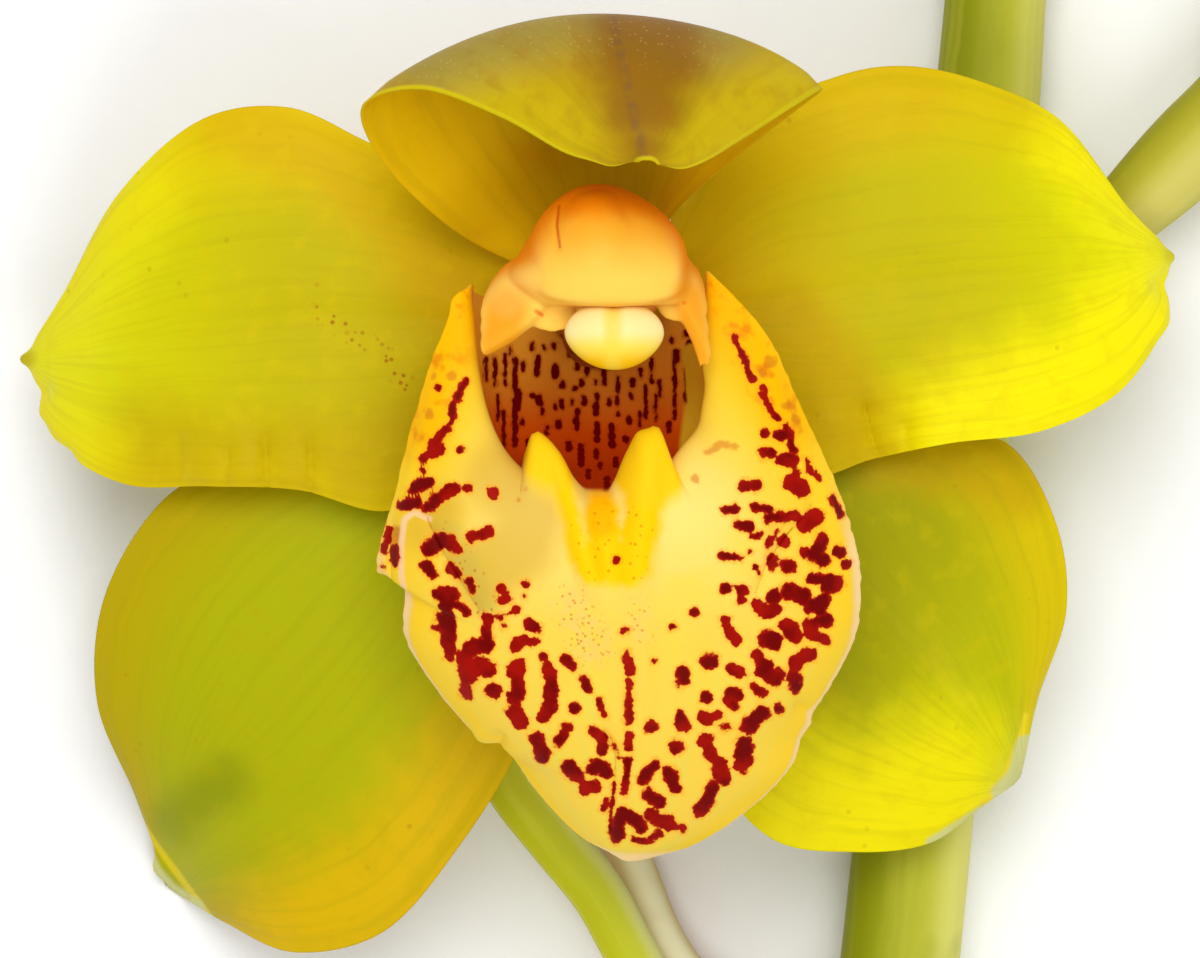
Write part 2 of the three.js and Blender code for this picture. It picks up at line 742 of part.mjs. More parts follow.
/** A small sheathing bract: rooted in the node, pointed, and leaning off the stalk. */
function bract({ row, side, bract: length, spread }) {
  const rootDepth = 0.6;
  const lean = 1.1 + 0.09 * length;    // how far its point stands off the stalk
  const tipShare = 0.04;               // of the spread, which is left at its point
  const surface = (u, v) => {
    const narrowed = spread * THREE.MathUtils.lerp(1, tipShare, u ** 1.6);
    const angle = THREE.MathUtils.degToRad(side + v * narrowed);
    const along = length * u;
    const ring = NODE_SWELL * bell(along, 0, NODE_HALF_LENGTH);
    const stalkRadius = spikeRadius(row - along / GRID) + ring;
    const away = stalkRadius - rootDepth + (rootDepth + lean) * u ** 0.7;
    const centre = spikeCentre(row - along / GRID);
    return new THREE.Vector3(
      centre.x + away * Math.cos(angle),
      centre.y,
      centre.z + away * Math.sin(angle),
    );
  };
  return sheet(surface, graded([0, 1], [4]), graded([-1, 1], [6]), () => BRACT_THICKNESS);
}

// ---------------------------------------------------------------- pedicels and buds

const BLOOM_PEDICEL = [
  [605, 330, 21.6], [604, 334, 17.6], [592, 362, 13.4], [560, 430, 10.2], [520, 520, 8.8],
  [490, 620, 8.2], [484, 705, 8.2], [510, 782, 8.2], [556, 845, 8.2], [598, 898, 8.2],
  [631, 958, 8.2], [668, 1020, 8.0], [722, 1085, 7.6], [790, 1155, 7.2], [870, 1240, 6.6],
];
const STUB_PEDICEL = [
  [606, 770, 3.0], [620, 830, 2.9], [640, 890, 2.9], [670, 958, 2.9], [716, 1012, 3.4],
  [790, 1058, 4.6], [892, 1100, 6.4],
];

/** The bloom's pedicel swells into a ribbed ovary, whose top is the receptacle. */
function bloomPedicelRadius(t, angle) {
  const ribCount = 6;
  const ovary = 1 - smoothStep(0.3, 0.75, t);
  const crown = bell(t, 0, 0.05);
  const ribs = 1 + OVARY_RIB * ovary * (1 - crown) * Math.cos(ribCount * angle);
  const plain = PEDICEL_RADIUS + OVARY_SWELL * ovary;
  return THREE.MathUtils.lerp(plain, RECEPTACLE_RADIUS, crown) * ribs;
}

/** The stub ends in the rounded scar that a dropped flower leaves. */
function stubRadius(t) {
  const scarSwell = 0.35;
  const scarRounding = 0.8;
  return STUB_RADIUS + scarSwell * bell(t, 0, 0.06) - scarRounding * bell(t, 0, 0.012);
}

/**
 * Buds: the line of the pedicel and the bud on it, the largest radius of the bud (girth),
 * of its pedicel and of its ovary, and how far along the line the ovary and the bud are.
 */
const BUDS = [
  {
    name: 'bud_side',
    line: [
      [972, 335, 6.4], [1015, 316, 7.4], [1062, 276, 8.4], [1110, 230, 8.4], [1160, 182, 8.2],
      [1204, 139, 8.0], [1250, 92, 7.8], [1300, 25, 7.8], [1335, -60, 7.9], [1350, -140, 8.0],
    ],
    girth: 7.3, pedicel: 2.3, ovary: 4.4, ovaryAt: 0.5, budFrom: 0.6,
  },
  {
    name: 'bud_upper',
    line: [
      [1000, -60, 5.2], [960, -96, 6.0], [920, -130, 6.6], [882, -172, 6.6], [852, -225, 6.4],
      [836, -290, 6.2], [834, -360, 6.2],
    ],
    girth: 5.9, pedicel: 1.9, ovary: 2.6, ovaryAt: 0.4, budFrom: 0.46,
  },
  {
    name: 'bud_tip',
    line: [
      [1010, -424.5, 2.7], [1009, -455, 2.6], [1012, -490, 3.1], [1018, -540, 4.4],
      [1022, -600, 4.8], [1020, -655, 4.8],
    ],
    girth: 4.7, pedicel: 2.1, ovary: 2.2, ovaryAt: 0.2, budFrom: 0.28,
  },
];

function budSolid({ line, girth, pedicel, ovary, ovaryAt, budFrom }, grow) {
  const sides = 12;
  const steps = 24;
  const sepals = 3;                    // their backs make the bud three-sided
  const sepalRidge = 0.07;
  const tipRadius = 0.35;
  const path = curveThrough(line.map(stemPoint));
  const radiusAt = (t, angle) => {
    const below = THREE.MathUtils.lerp(pedicel, ovary, smoothStep(0.1, ovaryAt, t));
    const s = THREE.MathUtils.clamp((t - budFrom) / (1 - budFrom), 0, 1);
    const swell = Math.sin(Math.PI * s ** 0.82) ** 0.8;
    const bud = girth * swell * (1 + sepalRidge * Math.cos(sepals * angle));
    const neck = below * (1 - s) ** 0.7;
    return Math.max(Math.hypot(neck, bud), tipRadius) + grow;
  };
  return solidOf(stem(path, radiusAt, sides, steps));
}

function bloomPedicelSolid(grow) {
  const sides = 12;
  const steps = 36;
  const path = curveThrough(BLOOM_PEDICEL.map(stemPoint));
  return solidOf(stem(path, (t, angle) => bloomPedicelRadius(t, angle) + grow, sides, steps));
}

function stubSolid(grow) {
  const sides = 10;
  const steps = 16;
  const path = curveThrough(STUB_PEDICEL.map(stemPoint));
  return solidOf(stem(path, (t) => stubRadius(t) + grow, sides, steps));
}

// ---------------------------------------------------------------- the stem as a scene graph

function material(colour, roughness = 0.5) {
  return new THREE.MeshStandardMaterial({ color: colour, roughness, metalness: 0 });
}

function piece(name, geometry, colour, roughness) {
  const mesh = new THREE.Mesh(geometry, material(colour, roughness));
  mesh.name = name;
  return mesh;
}

function addBloom(group) {
  for (const [name, shape, thickness, colour] of TEPALS) {
    group.add(piece(name, tepal(shape, thickness), colour));
  }
  group.add(piece('lip', lip(), LIP_COLOUR));
  group.add(piece('column', column(), COLUMN_COLOUR));
  group.add(piece('anther_cap', antherCap(), CAP_COLOUR));
  group.add(piece('pollinarium', pollinarium(), POLLEN_COLOUR));
}

/** What springs from the spike: a name, a colour, and its solid grown all round. */
const SHOOTS = [
  { name: 'pedicel_bloom', colour: PEDICEL_COLOUR, solid: bloomPedicelSolid },
  { name: 'pedicel_stub', colour: PEDICEL_COLOUR, solid: stubSolid },
  ...BUDS.map((bud) => ({
    name: bud.name, colour: BUD_COLOUR, solid: (grow) => budSolid(bud, grow),
  })),
];

/** The largest body of a solid, without any loose scrap that a cut left. */
function mainBody(solid) {
  return solid.decompose().reduce((most, body) => (body.volume() > most.volume() ? body : most));
}

function addStem(group) {
  const ground = groundBlock();
  const kept = SHOOTS.map(({ solid }) => solid(GAP)).reduce((whole, shoot) => whole.add(shoot));
  const sheaths = NODES
    .map((node) => mainBody(solidOf(bract(node)).subtract(kept)))
    .reduce((whole, sheath) => whole.add(sheath));
  const spike = stalk(0).add(sheaths).subtract(ground);
  group.add(piece('spike', geometryOf(spike), STALK_COLOUR, 0.6));
  const stalkRoom = stalk(GAP);
  for (const { name, colour, solid } of SHOOTS) {
    const seated = mainBody(solid(0).subtract(stalkRoom).subtract(ground));
    group.add(piece(name, geometryOf(seated), colour, 0.5));
  }
}

const orchid = new THREE.Group();
addBloom(orchid);
addStem(orchid);

export default orchid;
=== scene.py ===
"""Looks of the cut cymbidium stem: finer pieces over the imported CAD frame, light and camera."""

import math

import bmesh
import bpy
import numpy as np
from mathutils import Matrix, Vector


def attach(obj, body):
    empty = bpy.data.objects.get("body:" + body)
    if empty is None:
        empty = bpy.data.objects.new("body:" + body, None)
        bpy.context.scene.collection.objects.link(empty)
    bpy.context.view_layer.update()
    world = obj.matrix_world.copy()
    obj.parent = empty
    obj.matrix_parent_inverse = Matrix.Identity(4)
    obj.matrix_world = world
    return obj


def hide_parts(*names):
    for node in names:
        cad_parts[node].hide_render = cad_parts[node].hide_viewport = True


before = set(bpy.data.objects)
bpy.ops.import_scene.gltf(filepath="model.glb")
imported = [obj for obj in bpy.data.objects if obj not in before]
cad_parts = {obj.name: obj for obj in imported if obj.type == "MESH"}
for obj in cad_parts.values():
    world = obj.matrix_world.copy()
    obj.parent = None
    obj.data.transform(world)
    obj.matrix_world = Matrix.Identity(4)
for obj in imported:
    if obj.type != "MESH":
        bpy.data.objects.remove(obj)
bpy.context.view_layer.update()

# ------------------------------------------------------------------ driving dimensions
# In millimetres, where a comment says nothing else.

MM = 0.001                             # a millimetre in metres
BLOOM_SPREAD = 110.4                   # petal tip to petal tip
BLOOM_COLUMNS = 1150                   # the same in squares of the face grid
GRID = BLOOM_SPREAD / BLOOM_COLUMNS    # one square
ORIGIN_SQUARE = (968, 335)
BLOOM_LIFT = 22                        # petal roots above the surface
TEPAL_THICKNESS = 0.8
LIP_THICKNESS = 0.9
WING_THICKNESS = 0.9
BRACT_THICKNESS = 0.7
SPIKE_FOOT_RADIUS = 6.3
SPIKE_TIP_RADIUS = 2.4
NODE_SWELL = 0.7
NODE_HALF_LENGTH = 2.6
RECEPTACLE_RADIUS = 4.0
PEDICEL_RADIUS = 2.55
OVARY_SWELL = 0.55
OVARY_RIB = 0.06
STUB_RADIUS = 2.15

VIEW_SQUARE = (600, 479)               # the square that the camera looks straight down on
VIEW_DISTANCE = 1200                   # from the camera to the petal roots
VIEW_COLUMNS = 1200                    # squares across the view at that distance
SENSOR = 36                            # width of the camera's sensor
FINE_STEPS = 1200                      # of a curve, to measure along it
AXIS_STEPS = 2000                      # of the spike's axis, to find places on it
FAR = 999.0                            # squares away from a mark that isn't there


# ------------------------------------------------------------------ points and curves

def stem_points(squares):
    """Grid squares and heights above the surface, as millimetres."""
    c, r, h = np.asarray(squares, float).T
    return np.stack([(c - ORIGIN_SQUARE[0]) * GRID, (ORIGIN_SQUARE[1] - r) * GRID, h], -1)


def bloom_points(squares):
    """Grid squares and heights above the petal roots, as millimetres."""
    return stem_points(squares) + (0, 0, BLOOM_LIFT)


def squares_of(points, height=0.0):
    """
    The grid squares that points lie over. Marks are drawn as they look on a surface that is
    height millimetres nearer than the petal roots, so that much larger.
    """
    nearer = VIEW_DISTANCE / (VIEW_DISTANCE - height)
    column = points[..., 0] / GRID + ORIGIN_SQUARE[0]
    row = ORIGIN_SQUARE[1] - points[..., 1] / GRID
    return np.stack([
        VIEW_SQUARE[0] + (column - VIEW_SQUARE[0]) * nearer,
        VIEW_SQUARE[1] + (row - VIEW_SQUARE[1]) * nearer,
    ], -1)


def curve_through(points):
    """A Catmull-Rom curve, as a function of a share 0 to 1 that counts its points evenly."""
    points = np.asarray(points, float)
    ends = 2 * points[0] - points[1], 2 * points[-1] - points[-2]
    padded = np.vstack([ends[0], points, ends[1]])
    spans = len(points) - 1

    def at(share):
        p = np.clip(np.asarray(share, float), 0, 1) * spans
        i = np.minimum(p.astype(int), spans - 1)
        w = (p - i)[..., None]
        a, b, c, d = (padded[i + k] for k in range(4))
        t0, t1 = (c - a) / 2, (d - b) / 2
        return (b + t0 * w + (3 * (c - b) - 2 * t0 - t1) * w ** 2
                + (2 * (b - c) + t0 + t1) * w ** 3)
    return at


def even_steps(curve, steps):
    """Points of a curve at even distances along it, measured on a finer one."""
    fine = curve(np.linspace(0, 1, FINE_STEPS + 1))
    along = np.r_[0, np.cumsum(np.linalg.norm(np.diff(fine, axis=0), axis=1))]
    wanted = np.linspace(0, along[-1], steps + 1)
    return np.stack([np.interp(wanted, along, fine[:, k]) for k in range(3)], -1)


def smooth_step(low, high, value):
    t = np.clip((np.asarray(value, float) - low) / (high - low), 0, 1)
    return t * t * (3 - 2 * t)


def bell(value, centre, width):
    return np.exp(-((np.asarray(value, float) - centre) / width) ** 2)


def lerp(a, b, share):
    return a + (b - a) * share


def unit(vectors):
    return vectors / np.maximum(np.linalg.norm(vectors, axis=-1, keepdims=True), 1e-12)


def ripple(x, y, seed):
    """A smooth wandering value from -1 to 1 over two coordinates, the same on every run."""
    rng = np.random.default_rng(seed)
    waves, slowest, fastest = 5, 0.5, 1.6
    total = 0
    for _ in range(waves):
        fx, fy = rng.uniform(slowest, fastest, 2) * rng.choice([-1, 1], 2)
        total = total + np.sin(fx * x + fy * y + rng.uniform(0, 2 * math.pi))
    return total / waves


def distance_to(lines, squares):
    """How far squares are outside the nearest line's half width, in grid squares."""
    nearest = np.full(squares.shape[:-1], FAR)
    for half_width, line in lines:
        points = np.array(line, float)
        for a, b in zip(points, points[1:] if len(points) > 1 else points):
            span = b - a
            t = np.clip(((squares - a) @ span) / max(span @ span, 1e-9), 0, 1)
            gap = np.linalg.norm(squares - a - t[..., None] * span, axis=-1) - half_width
            nearest = np.minimum(nearest, gap)
    return nearest


def pushed(points, pushes):
    """Moves points near each square by some squares and by a height in millimetres."""
    squares = squares_of(points)
    for square, radius, (columns, rows, height) in pushes:
        near = bell(np.linalg.norm(squares - square, axis=-1), 0, radius)
        points[..., 0] += columns * GRID * near
        points[..., 1] -= rows * GRID * near
        points[..., 2] += height * near
    return points


def creased(points, creases):
    """Sinks points towards each line: by its depth on it, and less over its width."""
    squares = squares_of(points)
    for depth, width, line in creases:
        points[..., 2] -= depth * np.exp(-distance_to([(0, line)], squares) / width)
    return points


# ------------------------------------------------------------------ meshes

def mesh_piece(name, vertices, faces, fields):
    """An object from millimetre vertices, with fields as named vertex attributes."""
    mesh = bpy.data.meshes.new(name)
    mesh.from_pydata((np.asarray(vertices) * MM).tolist(), [], faces)
    for field, values in fields.items():
        attribute = mesh.attributes.new(field, "FLOAT", "POINT")
        attribute.data.foreach_set("value", np.asarray(values, np.float32).ravel())
    shell = bmesh.new()
    shell.from_mesh(mesh)
    bmesh.ops.recalc_face_normals(shell, faces=shell.faces)
    shell.to_mesh(mesh)
    shell.free()
    mesh.shade_smooth()
    return placed(name, mesh)


def placed(name, data):
    """A new object in the scene, with a mesh, light or camera as its data."""
    item = bpy.data.objects.new(name, data)
    bpy.context.scene.collection.objects.link(item)
    return item


def dressed(piece, material, node):
    """Gives a piece its material and slot, and lets it stand for its CAD node."""
    piece.data.materials.append(material)
    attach(piece, "root")
    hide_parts(node)
    return piece


def sheet_mesh(surface, rows, columns, thickness, thin_edge=0.3, crowd=0.6):
    """
    A closed sheet over surface(u, v), u 0 to 1 along it and v -1 to 1 across it. It thins
    to the share thin_edge at its rim, and its lines crowd towards the rim. Its back has half
    as many rows and columns as its front. Returns vertices, faces and fields.
    """
    w = np.linspace(-1, 1, columns + 1)
    v = lerp(w, np.sin(w * math.pi / 2), crowd)
    u, v = np.meshgrid(np.linspace(0, 1, rows + 1), v, indexing="ij")
    middle = surface(u, v)
    normal = unit(np.cross(np.gradient(middle, axis=0), np.gradient(middle, axis=1)))
    normal *= np.sign(normal[rows // 2, columns // 2, 2] or 1)
    side_rim, tip_rim = 0.9, 0.95       # where the sheet begins to thin, across and along
    rim = np.maximum(smooth_step(side_rim, 1, abs(v)), smooth_step(tip_rim, 1, u))
    half = (thickness(u) * lerp(1, thin_edge, rim) / 2)[..., None]
    front, back = middle + normal * half, (middle - normal * half)[::2, ::2]
    front_at = np.arange(u.size).reshape(u.shape)
    back_at = u.size + np.arange(back[..., 0].size).reshape(back.shape[:2])
    faces = grid_faces(front_at) + grid_faces(back_at[:, ::-1]) + rim_faces(front_at, back_at)
    fields = {
        "u": np.r_[u.ravel(), u[::2, ::2].ravel()],
        "v": np.r_[v.ravel(), v[::2, ::2].ravel()],
        "front": np.r_[np.ones(u.size), np.zeros(back[..., 0].size)],
    }
    return np.vstack([front.reshape(-1, 3), back.reshape(-1, 3)]), faces, fields


def grid_faces(at):
    """The four-sided faces of a grid of vertex numbers."""
    corners = at[:-1, :-1], at[:-1, 1:], at[1:, 1:], at[1:, :-1]
    return [tuple(face) for face in np.stack(corners, -1).reshape(-1, 4).tolist()]


def grid_border(at):
    """The vertex numbers round the border of a grid, once."""
    sides = at[0, :-1], at[:-1, -1], at[-1, :0:-1], at[:0:-1, 0]
    return np.concatenate(sides).tolist()


def rim_faces(front_at, back_at):
    """The faces between the borders of a front and of a back that is half as fine."""
    outer, inner = grid_border(front_at), grid_border(back_at)
    faces = []
    for i, a in enumerate(inner):
        b = inner[(i + 1) % len(inner)]
        p, q, r = outer[2 * i], outer[2 * i + 1], outer[(2 * i + 2) % len(outer)]
        faces += [(p, a, q), (q, a, b, r)]
    return faces


def ring_mesh(rings):
    """A closed skin over rings of points, with the fields u along it and v round it."""
    rings = np.asarray(rings)
    count, sides, _ = rings.shape
    vertices = np.vstack([rings.reshape(-1, 3), rings[0].mean(0), rings[-1].mean(0)])
    faces = []
    for r in range(count - 1):
        for s in range(sides):
            a, b = r * sides + s, r * sides + (s + 1) % sides
            faces.append((a, b, b + sides, a + sides))
    foot, head, last = count * sides, count * sides + 1, (count - 1) * sides
    for s in range(sides):
        n = (s + 1) % sides
        faces.append((foot, n, s))
        faces.append((head, last + s, last + n))
    u, v = np.meshgrid(np.linspace(0, 1, count), np.arange(sides) / sides, indexing="ij")
    fields = {"u": np.r_[u.ravel(), 0, 1], "v": np.r_[v.ravel(), 0, 0]}
    return vertices, faces, fields


def ball_mesh(centre, half, sides, rings, shape=None):
    """A ball with the three half sizes; shape(x, y, z) may change its unit points."""
    pole = 0.02                          # how far the first ring is from the pole, in radians
    polar = np.linspace(pole, math.pi - pole, rings)[:, None]
    turn = np.linspace(0, 2 * math.pi, sides, endpoint=False)[None, :]
    x = np.sin(polar) * np.cos(turn)
    y = np.cos(polar) * np.ones_like(turn)
    z = np.sin(polar) * np.sin(turn)
    if shape:
        x, y, z = shape(x, y, z)
    return ring_mesh(np.stack([x, y, z], -1) * half + centre)


def path_frames(points):
    """Two directions across a path at each point, which turn as little as they can."""
    tangent = unit(np.gradient(points, axis=0))
    seed = np.eye(3)[np.argmin(abs(tangent[0]))]
    side = unit(np.cross(tangent[0], np.cross(tangent[0], seed)))
    sides = [side]
    for t in tangent[1:]:
        side = side - t * side.dot(t)
        side = side / np.linalg.norm(side)
        sides.append(side)
    sides = np.array(sides)
    return sides, np.cross(tangent, sides)


def stem_mesh(points, radius, sides):
    """A round stem along even points; radius(share, angle) is how thick it is there."""
    normal, binormal = path_frames(points)
    t = np.linspace(0, 1, len(points))[:, None]
    angle = np.linspace(0, 2 * math.pi, sides, endpoint=False)[None, :]
    r = np.broadcast_to(radius(t, angle), (len(points), sides))[..., None]
    rings = (points[:, None] + normal[:, None] * r * np.cos(angle)[..., None]
             + binormal[:, None] * r * np.sin(angle)[..., None])
    return ring_mesh(rings)


def above_floor(vertices, faces, fields):
    """The same skin, with what would lie below the surface raised onto it."""
    vertices[:, 2] = np.maximum(vertices[:, 2], 0)
    return vertices, faces, fields


def joined(parts):
    """Several vertex, face and field sets as one."""
    vertices, faces, start = [], [], 0
    fields = {name: [] for name in parts[0][2]}
    for part_vertices, part_faces, part_fields in parts:
        vertices.append(part_vertices)
        faces += [tuple(i + start for i in face) for face in part_faces]
        for name in fields:
            fields[name].append(part_fields[name])
        start += len(part_vertices)
    return np.vstack(vertices), faces, {n: np.concatenate(f) for n, f in fields.items()}


def modify(item, kind, **settings):
    """Adds a modifier with its settings."""
    modifier = item.modifiers.new(kind, kind)
    for name, value in settings.items():
        setattr(modifier, name, value)


def grown_together(name, values, cutters):
    """Fuses overlapping solids into one skin with soft joints, and cuts others out of it."""
    voxel, softness, rounds = 0.2, 0.5, 24
    rough = mesh_piece(name + "_rough", *values)
    modify(rough, "REMESH", mode="VOXEL", voxel_size=voxel * MM)
    modify(rough, "SMOOTH", factor=softness, iterations=rounds)
    tools = [mesh_piece(f"{name}_cutter{i}", *cutter) for i, cutter in enumerate(cutters)]
    for tool in tools:
        modify(rough, "BOOLEAN", operation="DIFFERENCE", solver="EXACT", object=tool)
    settled = rough.evaluated_get(bpy.context.evaluated_depsgraph_get())
    mesh = bpy.data.meshes.new_from_object(settled)
    points = np.empty(len(mesh.vertices) * 3, np.float32)
    mesh.vertices.foreach_get("co", points)
    faces = [tuple(face.vertices) for face in mesh.polygons]
    for item in [rough, *tools]:
        bpy.data.objects.remove(item)
    bpy.data.meshes.remove(mesh)
    return points.reshape(-1, 3) / MM, faces, {}


# ------------------------------------------------------------------ materials

SHEEN_TINT = (1, 0.94, 0.6, 1)
GLOW_RADIUS = (1, 0.7, 0.2)            # red, green and blue, as shares of that depth
GLOW_DEPTH = 0.5                       # how far light goes in under the skin
GRAIN_SIZE = 0.35                      # of a plant's skin
GRAIN_DEPTH = 0.012
CUT_LENGTH = 0.003                     # of the pale cut end, as a share of the stalk


def srgb(red, green, blue):
    """A display colour, 0 to 255, as the linear colour that shaders take."""
    def linear(value):
        value /= 255
        return value / 12.92 if value <= 0.04045 else ((value + 0.055) / 1.055) ** 2.4
    return (linear(red), linear(green), linear(blue), 1)


class Material:
    """A node material, painted layer over layer."""

    def __init__(self, name, base, roughness=0.5, subsurface=0.0, specular=0.12):
        self.material = bpy.data.materials.new(name)
        self.material.use_nodes = True
        self.tree = self.material.node_tree
        self.shader = self.tree.nodes["Principled BSDF"]
        surface = {
            "Roughness": roughness, "Specular IOR Level": specular, "Specular Tint": SHEEN_TINT,
        }
        if subsurface:
            surface["Subsurface Weight"] = subsurface
            surface["Subsurface Radius"] = GLOW_RADIUS
            surface["Subsurface Scale"] = GLOW_DEPTH * MM
        for socket, value in surface.items():
            self.shader.inputs[socket].default_value = value
        self.place = self.node("ShaderNodeTexCoord").outputs["Object"]
        self.colour = base

    def node(self, kind, **settings):
        made = self.tree.nodes.new(kind)
        for name, value in settings.items():
            setattr(made, name, value)
        return made

    def put(self, socket, value):
        if hasattr(value, "is_linked"):
            self.tree.links.new(value, socket)
        else:
            socket.default_value = value

    def field(self, name):
        return self.node("ShaderNodeAttribute", attribute_name=name).outputs["Fac"]

    def math(self, operation, a, b=0.0, c=0.0):
        made = self.node("ShaderNodeMath", operation=operation)
        for socket, value in zip(made.inputs, (a, b, c)):
            self.put(socket, value)
        return made.outputs[0]

    def times(self, first, *others):
        for other in others:
            first = self.math("MULTIPLY", first, other)
        return first

    def step(self, value, low, high):
        """0 below low to 1 above high, smoothly. low may be the larger one."""
        made = self.node("ShaderNodeMapRange", interpolation_type="SMOOTHSTEP")
        ends = (low, high, 0, 1) if low < high else (high, low, 1, 0)
        for socket, end in zip(list(made.inputs)[1:5], ends):
            socket.default_value = end
        self.put(made.inputs[0], value)
        return made.outputs[0]

    def mix(self, share, a, b):
        made = self.node("ShaderNodeMix", data_type="RGBA")
        self.put(made.inputs["Factor"], share)
        self.put(made.inputs[6], a)
        self.put(made.inputs[7], b)
        return made.outputs[2]

    def paint(self, colour, *masks):
        """Lays a colour over what is there, as far as the product of the masks says."""
        self.colour = self.mix(self.times(*masks), self.colour, colour)

    def mark(self, name, colour, outside, inside, *masks):
        """Paints where the field called name goes from outside to inside."""
        self.paint(colour, self.step(self.field(name), outside, inside), *masks)

    def noise(self, size, detail=2.0):
        """Noise 0 to 1 whose grains are about size millimetres."""
        made = self.node("ShaderNodeTexNoise")
        made.inputs["Scale"].default_value = 1 / (size * MM)
        made.inputs["Detail"].default_value = detail
        self.put(made.inputs["Vector"], self.place)
        return made.outputs["Fac"]

    def dots(self, spacing, radius):
        """Round dots about spacing millimetres apart; radius is a share of the spacing."""
        outside, inside = 1.6 * radius, 0.8 * radius
        made = self.node("ShaderNodeTexVoronoi")
        made.inputs["Scale"].default_value = 1 / (spacing * MM)
        self.put(made.inputs["Vector"], self.place)
        return self.step(made.outputs["Distance"], outside, inside)

    def ragged(self, size, reach):
        """Noise that is mostly from -reach to reach, to fray the edge of a mark."""
        return self.math("MULTIPLY_ADD", self.noise(size), 4 * reach, -2 * reach)

    def lines(self, along, across, count, wander):
        """Veins 0 to 1: count lines that keep their place across and wander a little."""
        bend_size, stretch = 6.0, 3.0
        spread = self.math("MULTIPLY", across, float(count))
        bent = self.math("MULTIPLY_ADD", self.noise(bend_size), wander, spread)
        vector = self.node("ShaderNodeCombineXYZ")
        self.put(vector.inputs[0], bent)
        self.put(vector.inputs[1], self.math("MULTIPLY", along, stretch))
        made = self.node("ShaderNodeTexNoise")
        made.inputs["Scale"].default_value = 1.0
        made.inputs["Detail"].default_value = 2.0
        self.put(made.inputs["Vector"], vector.outputs[0])
        return made.outputs["Fac"]

    def bump(self, height, depth):
        """Raises the surface by up to depth millimetres where height is 1."""
        made = self.node("ShaderNodeBump")
        made.inputs["Strength"].default_value = 1.0
        made.inputs["Distance"].default_value = depth * MM
        self.put(made.inputs["Height"], height)
        if self.shader.inputs["Normal"].is_linked:
            before = self.shader.inputs["Normal"].links[0].from_socket
            self.put(made.inputs["Normal"], before)
        self.put(self.shader.inputs["Normal"], made.outputs[0])

    def finish(self):
        """Adds the fine grain of a plant's skin and gives the material its colour."""
        self.bump(self.noise(GRAIN_SIZE, 3.0), GRAIN_DEPTH)
        self.put(self.shader.inputs["Base Color"], self.colour)
        return self.material


def stem_material(name, dark, light, painted_highlight, turn=0.75, stripes=9):
    """A stalk: painted shade and light round it, a painted highlight at turn, and a pale cut end.
    """
    half_turn = 0.5
    m = Material(name, dark, subsurface=0.04)
    u, v = m.field("u"), m.field("v")
    away = m.math("PINGPONG", m.math("ADD", v, 1.0 - turn), half_turn)
    # Painted light on the side at turn; the rest stays dark as painted shade.
    m.paint(light, m.step(away, 0.34, 0.02))
    m.paint(srgb(206, 210, 130), m.step(u, CUT_LENGTH, 0.0))
    # Painted highlight along the side at turn.
    m.paint(painted_highlight, m.step(away, 0.16, 0.04), 0.8)
    streaks = m.lines(u, m.math("PINGPONG", v, half_turn), 2.0 * stripes, 0.8)
    m.paint(light, m.step(streaks, 0.45, 0.7), 0.3)
    m.paint(dark, m.step(m.noise(9.0), 0.55, 0.8), 0.4)
    m.bump(streaks, 0.05)
    return m.finish()


# ------------------------------------------------------------------ tepals

PETAL_LEFT = {
    "left": [
        (561, 308, 0.8), (506, 248, 1.0), (440, 181, 1.6), (364, 141, 2.6), (287, 108, 2.2),
        (200, 121, 0.6), (118, 193, -3.4), (62, 290, -8.4), (24, 353, -12.4),
    ],
    "mid": [
        (561, 323, 0.6), (490, 322, 3.2), (425, 322, 4.6), (350, 322, 5.2), (275, 324, 4.8),
        (195, 332, 3.0), (120, 343, -1.2), (62, 353, -7.0), (21, 358, -12.4),
    ],
    "right": [
        (561, 340, 1.0), (505, 420, 2.6), (458, 480, 4.2), (385, 511, 5.2), (300, 490, 5.0),
        (210, 486, 3.2), (125, 484, -0.6), (54, 442, -6.6), (25, 364, -12.2),
    ],
    "waves": [(0.58, 0.95, 0.06, 0.35, 0.8), (0.7, 0.95, 0.06, 0.35, -0.7),
              (0.93, 0.9, 0.06, 0.35, -0.8)],
    "pushes": [((20, 358), 9, (-6, 0, 0)), ((40, 388), 11, (7, 0, 0)),
               ((32, 414), 9, (-6, 3, 0)), ((60, 456), 14, (5, -3, 0))],
    "freckles": [(7, [(322, 312), (352, 334), (382, 352), (408, 386)])],
    "creases": [(0.5, 8, [(182, 436), (184, 486)]), (0.8, 8, [(230, 452), (228, 488)]),
                (1.0, 10, [(267, 436), (268, 490)]), (0.7, 8, [(312, 440), (312, 490)])],
    "marks": {
        "gold": [(10, [(240, 120), (330, 160), (400, 220), (440, 280)])],
        "shade": [(12, [(140, 440), (230, 460), (330, 470), (420, 440)])],
        "bright": [(14, [(60, 320), (90, 250), (130, 190)]), (10, [(45, 400), (75, 445)])],
        "apex": [(2, [(20, 358)])],
    },
}
